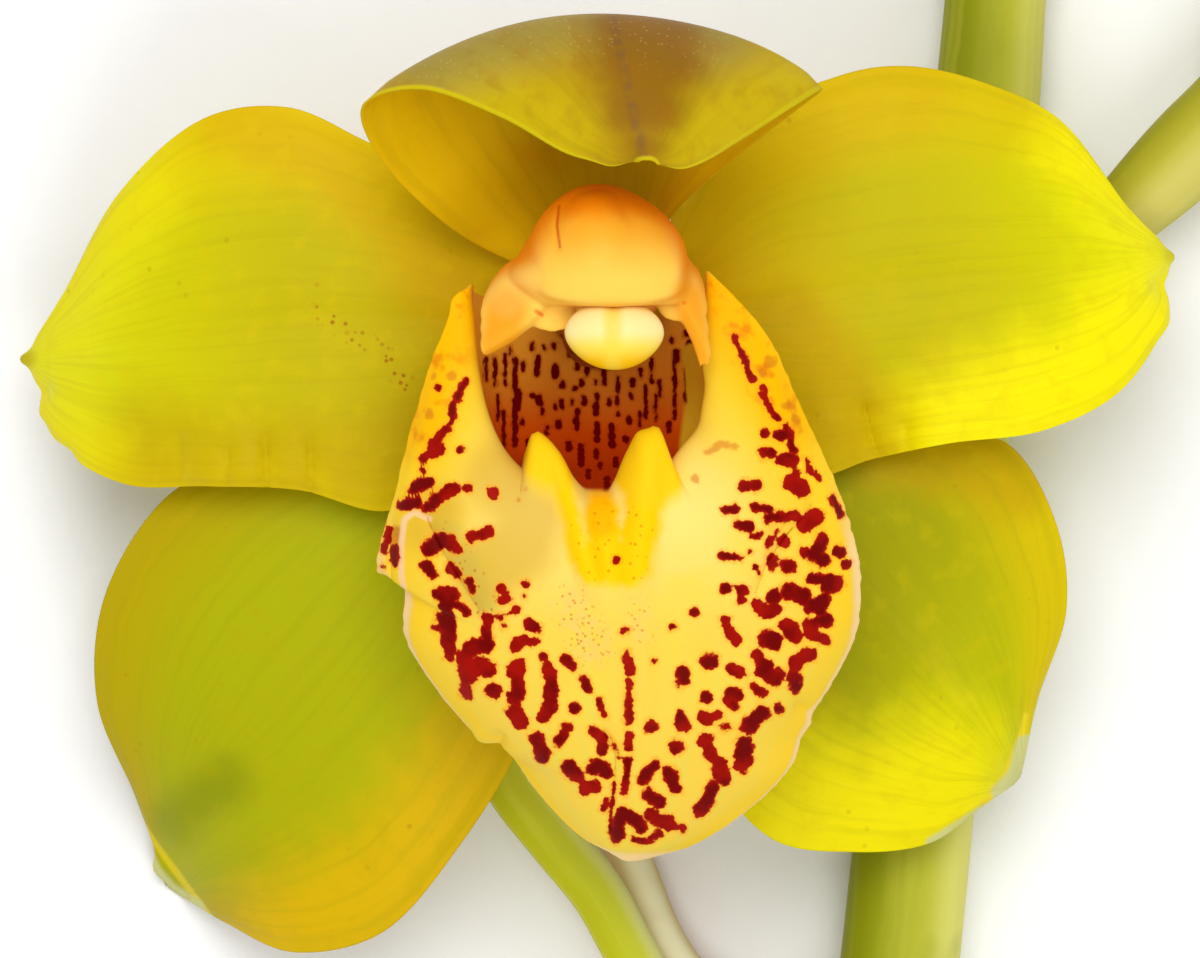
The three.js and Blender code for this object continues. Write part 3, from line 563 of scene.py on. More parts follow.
PETAL_RIGHT = {
    "left": [
        (649, 340, 1.0), (720, 420, 2.6), (800, 476, 4.2), (872, 459, 5.0), (950, 443, 5.4),
        (1040, 431, 4.4), (1118, 392, 1.8), (1166, 322, -2.6), (1171, 262, -7.0),
    ],
    "mid": [
        (649, 323, 0.6), (720, 312, 3.4), (795, 300, 4.8), (870, 290, 5.4), (945, 280, 5.2),
        (1020, 272, 4.0), (1090, 263, 1.4), (1140, 257, -2.6), (1174, 256, -7.0),
    ],
    "right": [
        (649, 308, 0.8), (678, 218, 1.0), (722, 130, 1.4), (829, 80, 2.4), (905, 67, 2.2),
        (985, 84, 1.2), (1062, 122, -0.8), (1128, 206, -4.0), (1170, 250, -7.0),
    ],
    "waves": [(0.38, -0.95, 0.06, 0.4, -1.2), (0.93, -0.7, 0.06, 0.4, -0.8)],
    "pushes": [((1176, 255), 9, (3, 0, 0)), ((1163, 285), 12, (-7, 0, 0)),
               ((1166, 325), 14, (4, 0, 0)), ((678, 212), 13, (-9, -3, 0))],
    "creases": [(1.0, 10, [(862, 405), (871, 438), (880, 464)]),
                (0.5, 12, [(905, 425), (908, 452)])],
    "marks": {
        "gold": [(20, [(700, 180), (760, 150), (830, 110), (900, 88)])],
        "shade": [(20, [(790, 330), (850, 420), (880, 430)])],
        "bright": [(18, [(1150, 300), (1100, 370), (1020, 410), (960, 430)]),
                   (5, [(1090, 146), (1140, 215)])],
        "apex": [(2, [(1174, 255)])],
    },
}
SEPAL_DORSAL = {
    "left": [
        (590, 287, 0.0), (528, 268, 3.4), (455, 232, 8.4), (386, 167, 15.0), (367, 113, 21.4),
        (426, 98, 26.0), (505, 127, 29.8), (575, 165, 32.5), (638, 169, 34.5),
    ],
    "mid": [
        (605, 287, -0.2), (612, 225, 4.0), (608, 150, 9.0), (602, 78, 15.0), (602, 36, 21.0),
        (612, 30, 27.0), (634, 66, 31.5), (643, 120, 34.0), (646, 168, 35.0),
    ],
    "right": [
        (620, 287, 0.0), (655, 238, 3.4), (692, 196, 8.6), (754, 146, 15.0), (817, 98, 21.2),
        (790, 114, 25.8), (738, 148, 29.6), (695, 172, 32.5), (655, 172, 34.5),
    ],
    "keel": 0,
    "pushes": [((612, 169), 16, (0, 6, 0)), ((676, 171), 16, (0, 4, 0)),
               ((643, 165), 7, (0, 2, 0))],
    "marks_height": 28,
    "marks": {
        "crest": [(5, [(430, 60), (500, 34), (560, 16), (640, 12), (710, 30)])],
        "wedge": [(46, [(646, 10), (646, 60)]), (30, [(644, 104)]), (10, [(643, 148)])],
        "rib": [(1.5, [(612, 14), (626, 80), (643, 158)])],
        "gleam": [(8, [(700, 142), (750, 112), (790, 84)]), (8, [(470, 92), (560, 134)])],
    },
}
SEPAL_LEFT = {
    "left": [
        (564, 352, 0.0), (490, 400, -1.4), (385, 445, -1.6), (270, 462, -2.0),
        (172, 492, -3.4), (105, 590, -6.0), (93, 700, -9.6), (130, 800, -15.2),
        (160, 893, -21.3),
    ],
    "mid": [
        (577, 364, -0.4), (520, 430, -0.8), (460, 500, 0.4), (398, 575, 0.8), (335, 652, 0.2),
        (275, 722, -2.4), (222, 786, -7.0), (188, 842, -13.0), (165, 897, -21.5),
    ],
    "right": [
        (590, 377, 0.0), (575, 500, -1.6), (560, 630, -1.4), (520, 745, -1.6),
        (462, 842, -3.4), (385, 932, -6.4), (294, 956, -10.0), (221, 928, -15.8),
        (174, 903, -21.3),
    ],
    "fullness": 0.5,
    "pushes": [((158, 874), 12, (-8, 1, 0))],
    "creases": [(0.9, 16, [(120, 800), (150, 846), (184, 893), (222, 940)])],
    "marks_height": -6,
    "marks": {
        "gold": [(14, [(480, 760), (400, 880), (300, 930)])],
        "shade": [(2, [(172, 822), (196, 800), (228, 782)])],
        "flap": [(9, [(131, 843), (145, 878), (161, 898), (190, 915)])],
        "bright": [(1.5, [(112, 786), (123, 805), (150, 846), (184, 893), (222, 942)])],
    },
}
SEPAL_RIGHT = {
    "left": [
        (620, 377, 0.0), (650, 500, -1.6), (675, 640, -1.4), (708, 760, -1.6),
        (770, 838, -2.4), (852, 853, -4.0), (930, 845, -6.0), (985, 808, -8.0),
        (1016, 787, -10.4),
    ],
    "mid": [
        (633, 364, -0.4), (680, 420, -0.8), (735, 478, 0.2), (795, 538, 0.6), (855, 598, 0.2),
        (912, 655, -1.4), (962, 710, -3.6), (998, 752, -6.4), (1021, 782, -10.4),
    ],
    "right": [
        (646, 352, 0.0), (730, 400, -1.4), (830, 435, -1.6), (930, 439, -1.8),
        (1008, 444, -2.6), (1056, 520, -3.8), (1068, 610, -5.2), (1040, 700, -7.4),
        (1025, 776, -10.2),
    ],
    "fullness": 0.5,
    "creases": [(0.6, 14, [(1024, 724), (1006, 774), (983, 806)])],
    "marks_height": -6,
    "marks": {
        "gold": [(14, [(880, 450), (960, 455), (1010, 480)])],
        "bright": [(25, [(780, 790), (860, 820), (940, 790)])],
        "flap": [(9, [(1027, 747), (1020, 777), (1004, 793)]), (2, [(985, 810), (930, 842)])],
        "line": [(1.2, [(1026, 716), (1022, 736), (1006, 774), (984, 804)])],
    },
}


def tepal_surface(shape, seed):
    """A tepal's middle surface: bowed between its guides, with pleats and a rippled rim."""
    left, mid, right = (curve_through(bloom_points(shape[k])) for k in ("left", "mid", "right"))
    fullness = shape.get("fullness", 0.3)
    keel, keel_width, keel_starts, keel_ends = shape.get("keel", 0.4), 0.12, (0, 0.2), (0.8, 1)
    rim_across, rim_along = (0.6, 1), (0.15, 0.4)
    rim_ripple, along, across = 0.12, 40, 3

    def surface(u, v):
        edge_l, rib, edge_r = left(u), mid(u), right(u)
        bow = ((1 - fullness) * v ** 2 + fullness * v ** 4)[..., None]
        points = rib + (edge_r - edge_l) * v[..., None] / 2
        points = points + (edge_l + edge_r - 2 * rib) * bow / 2
        groove = bell(v, 0, keel_width) * smooth_step(*keel_starts, u)
        groove = groove * (1 - smooth_step(*keel_ends, u))
        points[..., 2] -= keel * groove
        for at_u, at_v, length, width, height in shape.get("waves", []):
            points[..., 2] += height * bell(u, at_u, length) * bell(v, at_v, width)
        rim = smooth_step(*rim_across, abs(v)) * smooth_step(*rim_along, u)
        points[..., 2] += rim_ripple * rim * ripple(u * along, v * across, seed)
        return creased(pushed(points, shape.get("pushes", [])), shape.get("creases", []))
    return surface


def tepal(name, shape, material, seed):
    rows, columns = 160, 120
    root_extra, root_length = 0.5, 0.25
    vertices, faces, fields = sheet_mesh(
        tepal_surface(shape, seed), rows, columns,
        lambda u: TEPAL_THICKNESS + root_extra * (1 - smooth_step(0, root_length, u)),
    )
    squares = squares_of(vertices, shape.get("marks_height", 0))
    for mark, lines in shape["marks"].items():
        fields[mark] = distance_to(lines, squares)
    fields["freckles"] = distance_to(shape.get("freckles", []), squares)
    dressed(mesh_piece(name + "_skin", vertices, faces, fields), material, name)


def tepal_material(name, colours):
    """
    A waxy tepal. colours: its root, inner and outer parts and its rim, and for each mark a
    colour, how far the mark fades in grid squares, and its strength.
    """
    veins, vein_wander = 22, 1.2
    m = Material(name, colours["inner"], subsurface=0.08)
    u, v = m.field("u"), m.field("v")
    m.paint(colours["outer"], m.step(u, 0.45, 0.85))
    m.paint(colours["rim"], m.step(m.math("ABSOLUTE", v), 0.45, 0.95))
    m.paint(colours["root"], m.step(u, 0.4, 0.05))
    for mark, (colour, fade, strength) in colours["marks"].items():
        edge = m.math("ADD", m.field(mark), m.ragged(3.0, 0.12 * fade))
        m.paint(colour, m.step(edge, fade, 0.0), strength)
    vein = m.lines(u, v, veins, vein_wander)
    m.paint(colours["vein"], m.step(vein, 0.55, 0.3), 0.16)
    m.paint(colours["rim"], m.step(m.noise(2.4, 5.0), 0.5, 0.7), 0.22)
    m.paint(srgb(170, 104, 6), m.dots(2.2, 0.1), m.step(m.noise(11.0), 0.5, 0.7), 0.35)
    m.paint(srgb(160, 70, 4), m.dots(0.7, 0.24), m.step(m.field("freckles"), 8, -6), 0.75)
    m.bump(vein, 0.06)
    return m.finish()


LATERAL_TIP = srgb(206, 206, 136)
PETAL_LEFT_COLOURS = {
    "root": srgb(202, 160, 2), "inner": srgb(196, 182, 2), "outer": srgb(218, 215, 2),
    "rim": srgb(224, 198, 2), "vein": srgb(176, 160, 2),
    "marks": {
        "gold": (srgb(214, 172, 2), 60, 0.7),
        "shade": (srgb(190, 158, 2), 70, 0.6),
        "bright": (srgb(238, 228, 2), 70, 0.65),
        "apex": (srgb(196, 176, 4), 14, 0.9),
    },
}
PETAL_RIGHT_COLOURS = {
    "root": srgb(222, 180, 2), "inner": srgb(196, 184, 2), "outer": srgb(215, 214, 2),
    "rim": srgb(216, 190, 2), "vein": srgb(172, 158, 2),
    "marks": {
        "gold": (srgb(214, 176, 2), 60, 0.7),
        "shade": (srgb(196, 158, 2), 45, 0.7),
        "bright": (srgb(252, 240, 2), 90, 0.85),
        "apex": (srgb(214, 204, 4), 12, 0.8),
    },
}
SEPAL_LEFT_COLOURS = {
    "root": srgb(176, 166, 2), "inner": srgb(174, 176, 2), "outer": srgb(172, 172, 2),
    "rim": srgb(184, 162, 2), "vein": srgb(146, 150, 2),
    "marks": {
        "gold": (srgb(222, 180, 2), 100, 0.85),
        "shade": (srgb(122, 134, 2), 44, 0.55),
        "bright": (srgb(226, 204, 20), 4, 0.9),
        "flap": (LATERAL_TIP, 6, 0.95),
    },
}
SEPAL_RIGHT_COLOURS = {
    # Its root and inner colours are its olive green, darkened partly as painted shade beside the
    # lip and under the right petal.
    "root": srgb(150, 146, 2), "inner": srgb(160, 158, 2), "outer": srgb(190, 190, 2),
    "rim": srgb(214, 190, 2), "vein": srgb(146, 146, 2),
    "marks": {
        "gold": (srgb(190, 150, 2), 50, 0.6),
        "bright": (srgb(244, 230, 2), 110, 0.85),
        "line": (srgb(238, 214, 30), 4, 0.9),
        "flap": (LATERAL_TIP, 5, 0.95),
    },
}


def hood_material():
    """The dorsal sepal: olive gold inside; its back flushed brown beside the midrib."""
    m = Material("hood_skin", srgb(194, 162, 2))
    u, v, front = m.field("u"), m.field("v"), m.field("front")
    edge = m.math("ABSOLUTE", v)
    m.paint(srgb(226, 184, 2), m.step(edge, 0.35, 0.95))
    m.paint(srgb(200, 130, 2), m.step(m.noise(7.0), 0.5, 0.75), 0.35)
    back = m.math("SUBTRACT", 1.0, front)
    m.paint(srgb(184, 148, 8), back)
    m.mark("gleam", srgb(208, 184, 4), 60, 0, back, 0.65)
    m.mark("crest", srgb(156, 138, 64), 66, 0, back, 0.8)
    wedge = m.math("ADD", m.field("wedge"), m.ragged(3.0, 7.0))
    m.paint(srgb(134, 82, 10), back, m.step(wedge, 40, -16), 0.8)
    m.paint(srgb(160, 100, 14), back, m.step(m.noise(2.6, 4.0), 0.48, 0.7), 0.25)
    patchy = m.step(m.noise(1.2), 0.3, 0.7)
    m.paint(srgb(116, 78, 50), back, m.step(m.field("rib"), 7, 0), patchy, 0.5)
    m.paint(srgb(206, 180, 100), back, m.dots(0.7, 0.14), m.step(m.field("crest"), 70, 0), 0.35)
    hem = m.math("MAXIMUM", m.step(edge, 0.972, 0.99), m.step(u, 0.985, 0.995))
    m.paint(srgb(210, 190, 10), hem, back)
    vein = m.lines(u, v, 18, 1.4)
    m.paint(srgb(130, 108, 4), m.step(vein, 0.55, 0.3), 0.14)
    m.bump(vein, 0.03)
    return m.finish()


# ------------------------------------------------------------------ lip

# From root to tip: midline, left edge, right edge; the shares flat, out and along, which
# place the guides of lip_half; and how proud the shoulder stands, in millimetres.
LIP_STATIONS = [
    ((605, 371, 1.5), (559, 334, 3.0), (651, 334, 3.0), 0.5, 0.95, 0.2, 0),
    ((604, 432, 4.0), (538, 300, 6.0), (671, 298, 6.0), 0.7, 1.1, 0.2, 0),
    ((603, 468, 10.0), (492, 300, 11.0), (702, 295, 11.0), 0.7, 1.15, 0.15, 0),
    ((602, 486, 16.5), (475, 292, 16.8), (708, 286, 16.8), 0.7, 1.12, 0.15, 0),
    ((602, 498, 21.5), (470, 283, 20.8), (709, 277, 20.8), 0.6, 1.0, 0.15, 0.4),
    ((610, 532, 24.2), (443, 342, 21.4), (762, 335, 21.4), 0.55, 0.95, 0.3, 0.6),
    ((616, 570, 25.0), (420, 412, 20.2), (794, 402, 20.2), 0.5, 0.9, 0.4, 1.0),
    ((620, 606, 25.0), (397, 500, 18.0), (830, 480, 18.4), 0.5, 0.85, 0.45, 1.6),
    ((622, 634, 24.6), (382, 560, 15.4), (848, 532, 17.0), 0.5, 0.8, 0.5, 2.4),
    ((623, 655, 24.2), (408, 580, 16.6), (856, 574, 16.6), 0.5, 0.8, 0.5, 2.2),
    ((625, 690, 23.4), (408, 632, 15.2), (852, 630, 15.8), 0.5, 0.8, 0.55, 2.4),
    ((626, 722, 22.4), (438, 684, 14.4), (828, 680, 15.0), 0.5, 0.8, 0.6, 2.2),
    ((627, 754, 21.0), (478, 730, 13.8), (802, 722, 14.4), 0.5, 0.8, 0.65, 1.8),
    ((628, 784, 19.4), (508, 745, 13.4), (788, 762, 13.8), 0.45, 0.8, 0.65, 1.4),
    ((629, 812, 17.6), (536, 784, 13.0), (752, 800, 13.4), 0.4, 0.75, 0.65, 1.0),
    ((629, 836, 15.6), (572, 822, 12.4), (706, 832, 12.8), 0.4, 0.7, 0.65, 0.6),
    ((628, 856, 13.2), (614, 850, 12.0), (650, 853, 12.2), 0.35, 0.67, 0.67, 0.1),
]
# Each keel: its horn's reach over the throat and the shares of the half width where it
# rises and falls, and its ridge's two ends and half width.
KEELS = [
    (4.5, (0.06, 0.27), (0.3, 0.38), (563, 455), (594, 590), 1.1),
    (5.2, (0.03, 0.22), (0.3, 0.39), (648, 440), (634, 590), 1.6),
]
RIDGE_HEIGHT = 1.3
RIDGE_STARTS = (-0.05, 0.02)           # along the lip, from the crest
RIDGE_ENDS = (0.8, 1.15)               # along the ridge
CREST = 0.25                           # where along the lip its floor leaves the throat
HORN_LENGTH = 0.045                    # of the horns' crest, as a share along the lip
FRINGE = 0.22                          # how far the rim's teeth reach
FRINGE_ACROSS = (0.94, 1)              # where they begin and are full
FRINGE_ALONG = (0.2, 0.35)
TEETH = [(0.8, 160, 2, 11), (0.7, 380, 1, 12)]      # strength, ripples along, across, seed
SWAY = 0.22                            # how far the rim waves up and down
SWAY_ACROSS = (0.6, 1)
SWAY_ALONG = (0.5, 0.6)


def lip_half(edge_index):
    """The guides of one half of the lip: where it is still level, its shoulder, its edge."""
    shoulder_rise = 0.6
    start = bloom_points([s[0] for s in LIP_STATIONS])
    edge = bloom_points([s[edge_index] for s in LIP_STATIONS])
    flat, out, along, proud = np.array([s[3:] for s in LIP_STATIONS], float).T
    level = start.copy()
    level[:, 0] = lerp(start[:, 0], edge[:, 0], flat)
    shoulder = np.stack([
        lerp(start[:, 0], edge[:, 0], out),
        lerp(start[:, 1], edge[:, 1], along),
        lerp(start[:, 2], edge[:, 2], shoulder_rise) + proud,
    ], -1)
    return [curve_through(points) for points in (level, shoulder, edge)]


def horn_reach(keel, u, s):
    """How far a keel's horn stands out over the throat, at a share s of the half width."""
    lift, rise, fall = keel[:3]
    return (lift * smooth_step(*rise, s) * (1 - smooth_step(*fall, s))
            * bell(u, CREST, HORN_LENGTH))


def ridge_rise(keel, u, points):
    """How high a keel's ridge stands above the blade."""
    start, end, half_width = keel[3:]
    row = ORIGIN_SQUARE[1] - points[..., 1] / GRID
    share = (row - start[1]) / (end[1] - start[1])
    centre = (lerp(start[0], end[0], share) - ORIGIN_SQUARE[0]) * GRID
    starts = smooth_step(CREST + RIDGE_STARTS[0], CREST + RIDGE_STARTS[1], u)
    return (RIDGE_HEIGHT * bell(points[..., 0], centre, half_width)
            * starts * (1 - smooth_step(*RIDGE_ENDS, share)))


# Where the lip's margin is notched or lobed, and where its blade is creased.
LIP_PUSHES = [
    ((500, 735), 9, (7, -6, 0.3)), ((486, 731), 9, (-3, 3, -0.4)),
    ((797, 704), 9, (-7, -4, 0.3)), ((806, 722), 10, (4, 2, -0.3)),
    ((471, 281), 13, (1, 7, 0)), ((456, 303), 12, (-4, -3, 0)),
    ((380, 566), 10, (-3, 6, -0.5)), ((690, 392), 26, (9, 0, 0)),
    ((692, 428), 20, (8, 2, 0)),
]
LIP_CREASES = [
    (1.1, 9, [(432, 518), (446, 548), (464, 578), (482, 606)]),
    (0.9, 9, [(806, 506), (780, 536), (762, 562), (752, 590)]),
    (0.8, 4, [(398, 526), (396, 550), (398, 580)]),
    (0.7, 6, [(605, 728), (616, 750), (613, 790), (611, 834)]),
]


def lip_surface():
    mid = curve_through(bloom_points([s[0] for s in LIP_STATIONS]))
    halves = lip_half(1), lip_half(2)
    horn_wobble, blade_start = 0.07, 0.08

    def surface(u, v):
        s = abs(v)[..., None]
        right = (v > 0)[..., None]
        level, shoulder, edge = (np.where(right, b(u), a(u)) for a, b in zip(*halves))
        points = (mid(u) * (1 - s) ** 3 + level * 3 * s * (1 - s) ** 2
                  + shoulder * 3 * s ** 2 * (1 - s) + edge * s ** 3)
        outward = unit(edge - shoulder)
        reach = np.where(v > 0, horn_reach(KEELS[1], u, abs(v)), horn_reach(KEELS[0], u, abs(v)))
        points[..., 1] += reach * (1 + horn_wobble * ripple(v * 60, u * 3, 14))
        points[..., 2] += ridge_rise(KEELS[0], u, points) + ridge_rise(KEELS[1], u, points)
        teeth = sum(size * ripple(u * along, v * across, seed)
                    for size, along, across, seed in TEETH)
        rim = smooth_step(*FRINGE_ACROSS, abs(v)) * smooth_step(*FRINGE_ALONG, u)
        points = points + outward * (FRINGE * teeth * rim)[..., None]
        sway = SWAY * smooth_step(*SWAY_ACROSS, abs(v)) * smooth_step(*SWAY_ALONG, u)
        points[..., 2] += sway * ripple(u * 55, v * 2, 13)
        points = pushed(points, LIP_PUSHES)
        blade = smooth_step(CREST, CREST + blade_start, u)
        sunk = creased(points.copy(), LIP_CREASES)[..., 2] - points[..., 2]
        points[..., 2] += sunk * blade
        return points
    return surface


# The lip's blotches: half width in grid squares, and the squares that each one runs through.
BLOTCHES = [
    # left side lobe and the shoulder below it
    (3.6, [(466, 381), (459, 394), (452, 408), (453, 421), (438, 438), (423, 460)]),
    (2.6, [(438, 388)]), (3.4, [(460, 449)]), (4.4, [(432, 454), (441, 450)]),
    (3.6, [(424, 470)]), (5.5, [(414, 488), (430, 481)]), (5.5, [(403, 505), (418, 503)]),
    (5.8, [(427, 507), (445, 494), (455, 488)]), (4.4, [(468, 488)]), (5.6, [(494, 493)]),
    (5.6, [(471, 537), (489, 532)]), (3.4, [(390, 530)]), (4.4, [(387, 538), (384, 550)]),
    (4.6, [(394, 561), (393, 550)]), (2.8, [(382, 567)]),
    # merged chain down the left margin
    (8.0, [(429, 548), (438, 541)]), (5.6, [(443, 539), (450, 540), (456, 549)]),
    (5.6, [(426, 565), (433, 576)]), (5.4, [(451, 568), (457, 574)]),
    (3.4, [(469, 580), (473, 589)]), (7.6, [(440, 594), (452, 596), (446, 606)]),
    (5.0, [(458, 604), (466, 610)]), (8.6, [(446, 617), (449, 637)]), (5.0, [(438, 628)]),
    (6.0, [(449, 645), (450, 656)]), (5.0, [(488, 618), (488, 640)]),
    (7.6, [(486, 646), (474, 646), (463, 656)]), (10.0, [(470, 668), (468, 676)]),
    (7.6, [(480, 664), (489, 670)]), (5.6, [(466, 684), (466, 694)]), (8.4, [(493, 691)]),
    # middle of the left half
    (4.6, [(501, 588)]), (4.4, [(504, 599), (508, 597)]), (3.2, [(526, 585)]),
    (2.6, [(525, 595)]), (4.2, [(502, 617)]), (4.4, [(516, 610)]),
    (1.6, [(502, 617), (516, 610)]), (2.4, [(504, 625)]), (5.6, [(529, 624), (536, 627)]),
    (6.4, [(517, 645), (523, 640)]), (5.4, [(533, 642)]), (4.4, [(543, 655)]),
    (6.4, [(549, 668), (551, 685), (552, 700)]), (6.4, [(549, 708), (543, 717)]),
    (4.4, [(565, 660), (572, 665)]), (5.4, [(511, 671), (520, 663)]),
    (6.4, [(517, 670), (518, 690)]), (6.0, [(512, 698), (520, 693)]),
    (7.4, [(514, 712), (521, 722)]), (4.4, [(584, 679), (588, 687)]),
    (2.8, [(599, 700), (604, 714)]), (5.8, [(574, 709)]), (5.4, [(566, 728), (559, 741)]),
    (7.4, [(537, 740), (543, 756)]), (5.4, [(594, 730), (603, 738), (602, 751)]),
    (7.8, [(569, 768), (577, 775)]), (6.4, [(591, 769), (600, 765), (607, 773)]),
    (7.4, [(586, 789), (593, 787)]), (2.8, [(606, 800), (604, 810)]),
    # the midline
    (4.8, [(624, 630)]), (4.2, [(627, 655), (630, 670)]), (3.4, [(629, 682), (628, 700)]),
    (4.4, [(628, 702), (630, 720)]), (3.8, [(629, 734), (628, 748)]),
    (3.8, [(628, 760), (624, 792)]), (1.4, [(611, 738), (620, 757)]),
    (1.3, [(614, 782), (610, 830)]), (6.4, [(622, 813), (634, 819), (642, 830)]),
    (6.0, [(620, 816), (618, 838)]), (2.8, [(634, 842), (645, 841)]),
    (3.8, [(651, 839), (659, 834)]),
    # right half, from the middle outwards
    (3.2, [(616, 561)]), (2.8, [(654, 661)]), (6.2, [(651, 726)]),
    (5.4, [(642, 779), (654, 765)]), (6.2, [(648, 795), (659, 802)]), (5.8, [(650, 815)]),
    (7.2, [(657, 819), (669, 825)]), (4.0, [(669, 826), (682, 829)]), (3.4, [(672, 626)]),
    (5.0, [(694, 613)]), (6.6, [(682, 671), (683, 680)]), (6.2, [(680, 715), (684, 725)]),
    (7.4, [(677, 747)]), (6.2, [(669, 772), (676, 788)]), (6.2, [(706, 661), (713, 660)]),
    (6.0, [(706, 697)]), (6.0, [(703, 717), (708, 719)]), (3.8, [(712, 717), (719, 715)]),
    (4.8, [(726, 726)]), (8.2, [(706, 740)]), (6.0, [(708, 748), (712, 757)]),
    (7.4, [(720, 765), (724, 780)]), (6.8, [(713, 789), (706, 802), (700, 811)]),
    (5.2, [(725, 588)]), (5.0, [(725, 621), (728, 632), (735, 640)]),
    (5.6, [(733, 668), (741, 674)]), (5.4, [(730, 692), (738, 695)]),
    (4.8, [(727, 700), (735, 706)]), (9.0, [(744, 746), (744, 760)]), (6.0, [(741, 769)]),
    (8.0, [(748, 726), (756, 719), (763, 712)]), (4.4, [(779, 709)]),
    (4.6, [(755, 687), (762, 692)]), (7.0, [(758, 656), (765, 664)]),
    (7.4, [(764, 672), (775, 679)]), (6.0, [(779, 675)]), (7.0, [(794, 679), (795, 686)]),
    (7.4, [(797, 662)]), (6.4, [(802, 658), (810, 654)]), (8.6, [(767, 640), (775, 641)]),
    (7.6, [(786, 626), (796, 637)]), (7.4, [(811, 625), (812, 632)]),
    (5.6, [(816, 622), (827, 621)]), (4.8, [(816, 637), (826, 640)]),
    (7.4, [(811, 606), (823, 602)]), (5.2, [(820, 612)]),
    (5.4, [(756, 605), (766, 612), (776, 609)]), (7.2, [(774, 596)]),
    (8.4, [(789, 592), (803, 596)]), (4.8, [(811, 578), (824, 582)]),
    (8.4, [(827, 583), (836, 583)]), (5.6, [(742, 590)]), (3.8, [(742, 600)]),
    (4.8, [(847, 564)]), (5.4, [(838, 550), (841, 553)]), (5.8, [(804, 552)]),
    (6.8, [(813, 555), (824, 561)]), (6.8, [(823, 541), (817, 550)]), (7.4, [(788, 566)]),
    (5.4, [(772, 558), (772, 564)]), (5.0, [(724, 556)]), (3.6, [(728, 557), (740, 558)]),
    (1.8, [(750, 552)]), (2.8, [(755, 567)]), (2.2, [(759, 574)]),
    # right shoulder and side lobe
    (6.4, [(784, 542)]), (3.6, [(768, 543), (777, 532)]), (2.8, [(752, 537), (760, 535)]),
    (4.8, [(737, 524), (748, 526)]), (3.4, [(725, 510), (734, 510)]),
    (5.0, [(744, 485), (756, 486)]), (4.2, [(755, 507), (768, 510)]),
    (5.2, [(768, 518), (780, 518), (795, 515)]), (8.0, [(804, 525), (816, 516)]),
    (8.6, [(792, 483), (802, 489)]), (4.4, [(797, 474)]), (5.0, [(764, 453), (772, 453)]),
    (6.0, [(781, 460), (792, 461)]), (3.6, [(765, 434)]), (5.6, [(778, 436), (788, 434)]),
    (3.2, [(785, 427), (794, 450)]), (2.8, [(761, 394), (777, 418)]), (3.4, [(763, 388)]),
    (2.8, [(734, 338), (744, 360)]), (3.4, [(744, 360), (752, 379)]),
    (2.4, [(806, 458), (811, 472)]), (2.6, [(819, 477)]), (3.6, [(833, 498), (841, 516)]),
]

# The throat's dashes: centre, half width and half height of each.
DASHES = [
    # its left wall
    (486, 370, 1.6, 12), (495, 372, 1.8, 15), (505, 370, 1.8, 16), (515, 375, 2.6, 18),
    (523, 366, 2.2, 6), (537, 365, 2.6, 11), (515, 422, 2.6, 25), (517, 400, 3.4, 12),
    (504, 430, 1.8, 20), (522, 422, 2.6, 4), (532, 395, 2.8, 3), (539, 400, 3.6, 6),
    (542, 412, 2.6, 4), (498, 408, 1.6, 14), (528, 446, 2.2, 8), (510, 350, 1.8, 5),
    # under the column
    (532, 346, 2.6, 5), (544, 347, 1.8, 3), (554, 345, 2.6, 4), (570, 354, 1.8, 3),
    (555, 371, 3.4, 8), (562, 384, 3.4, 5), (577, 365, 2.4, 5), (587, 370, 1.8, 6),
    (582, 382, 2.6, 4), (575, 388, 2.8, 3), (604, 376, 2.6, 9), (618, 384, 2.2, 9),
    (633, 382, 2.2, 5), (596, 381, 1.8, 3), (641, 372, 1.8, 5), (652, 370, 1.8, 13),
    # the floor
    (555, 406, 2.6, 4), (561, 404, 2.6, 5), (572, 402, 1.8, 4), (584, 400, 2.8, 5),
    (597, 396, 2.4, 4), (596, 409, 3.4, 6), (609, 402, 2.6, 5), (617, 401, 1.8, 4),
    (631, 396, 2.2, 4), (618, 414, 1.8, 3), (629, 420, 2.2, 4), (577, 419, 2.8, 12),
    (558, 424, 3.4, 5), (597, 432, 2.8, 10), (612, 436, 3.4, 13), (626, 439, 3.4, 4),
    (596, 453, 2.8, 6), (581, 455, 3.4, 12), (569, 446, 3.4, 6), (607, 484, 3.6, 9),
    (588, 474, 2.6, 6), (600, 466, 2.4, 4), (616, 462, 2.8, 6), (547, 430, 2.4, 5),
    # its right wall
    (680, 316, 1.8, 4), (686, 334, 2.6, 4), (672, 340, 1.8, 4), (689, 344, 3.0, 4),
    (677, 355, 3.2, 7), (675, 390, 1.6, 30), (686, 385, 1.6, 18), (660, 388, 1.8, 9),
    (646, 402, 1.8, 18), (656, 408, 1.8, 14), (669, 427, 2.6, 6), (640, 418, 1.8, 8),
]
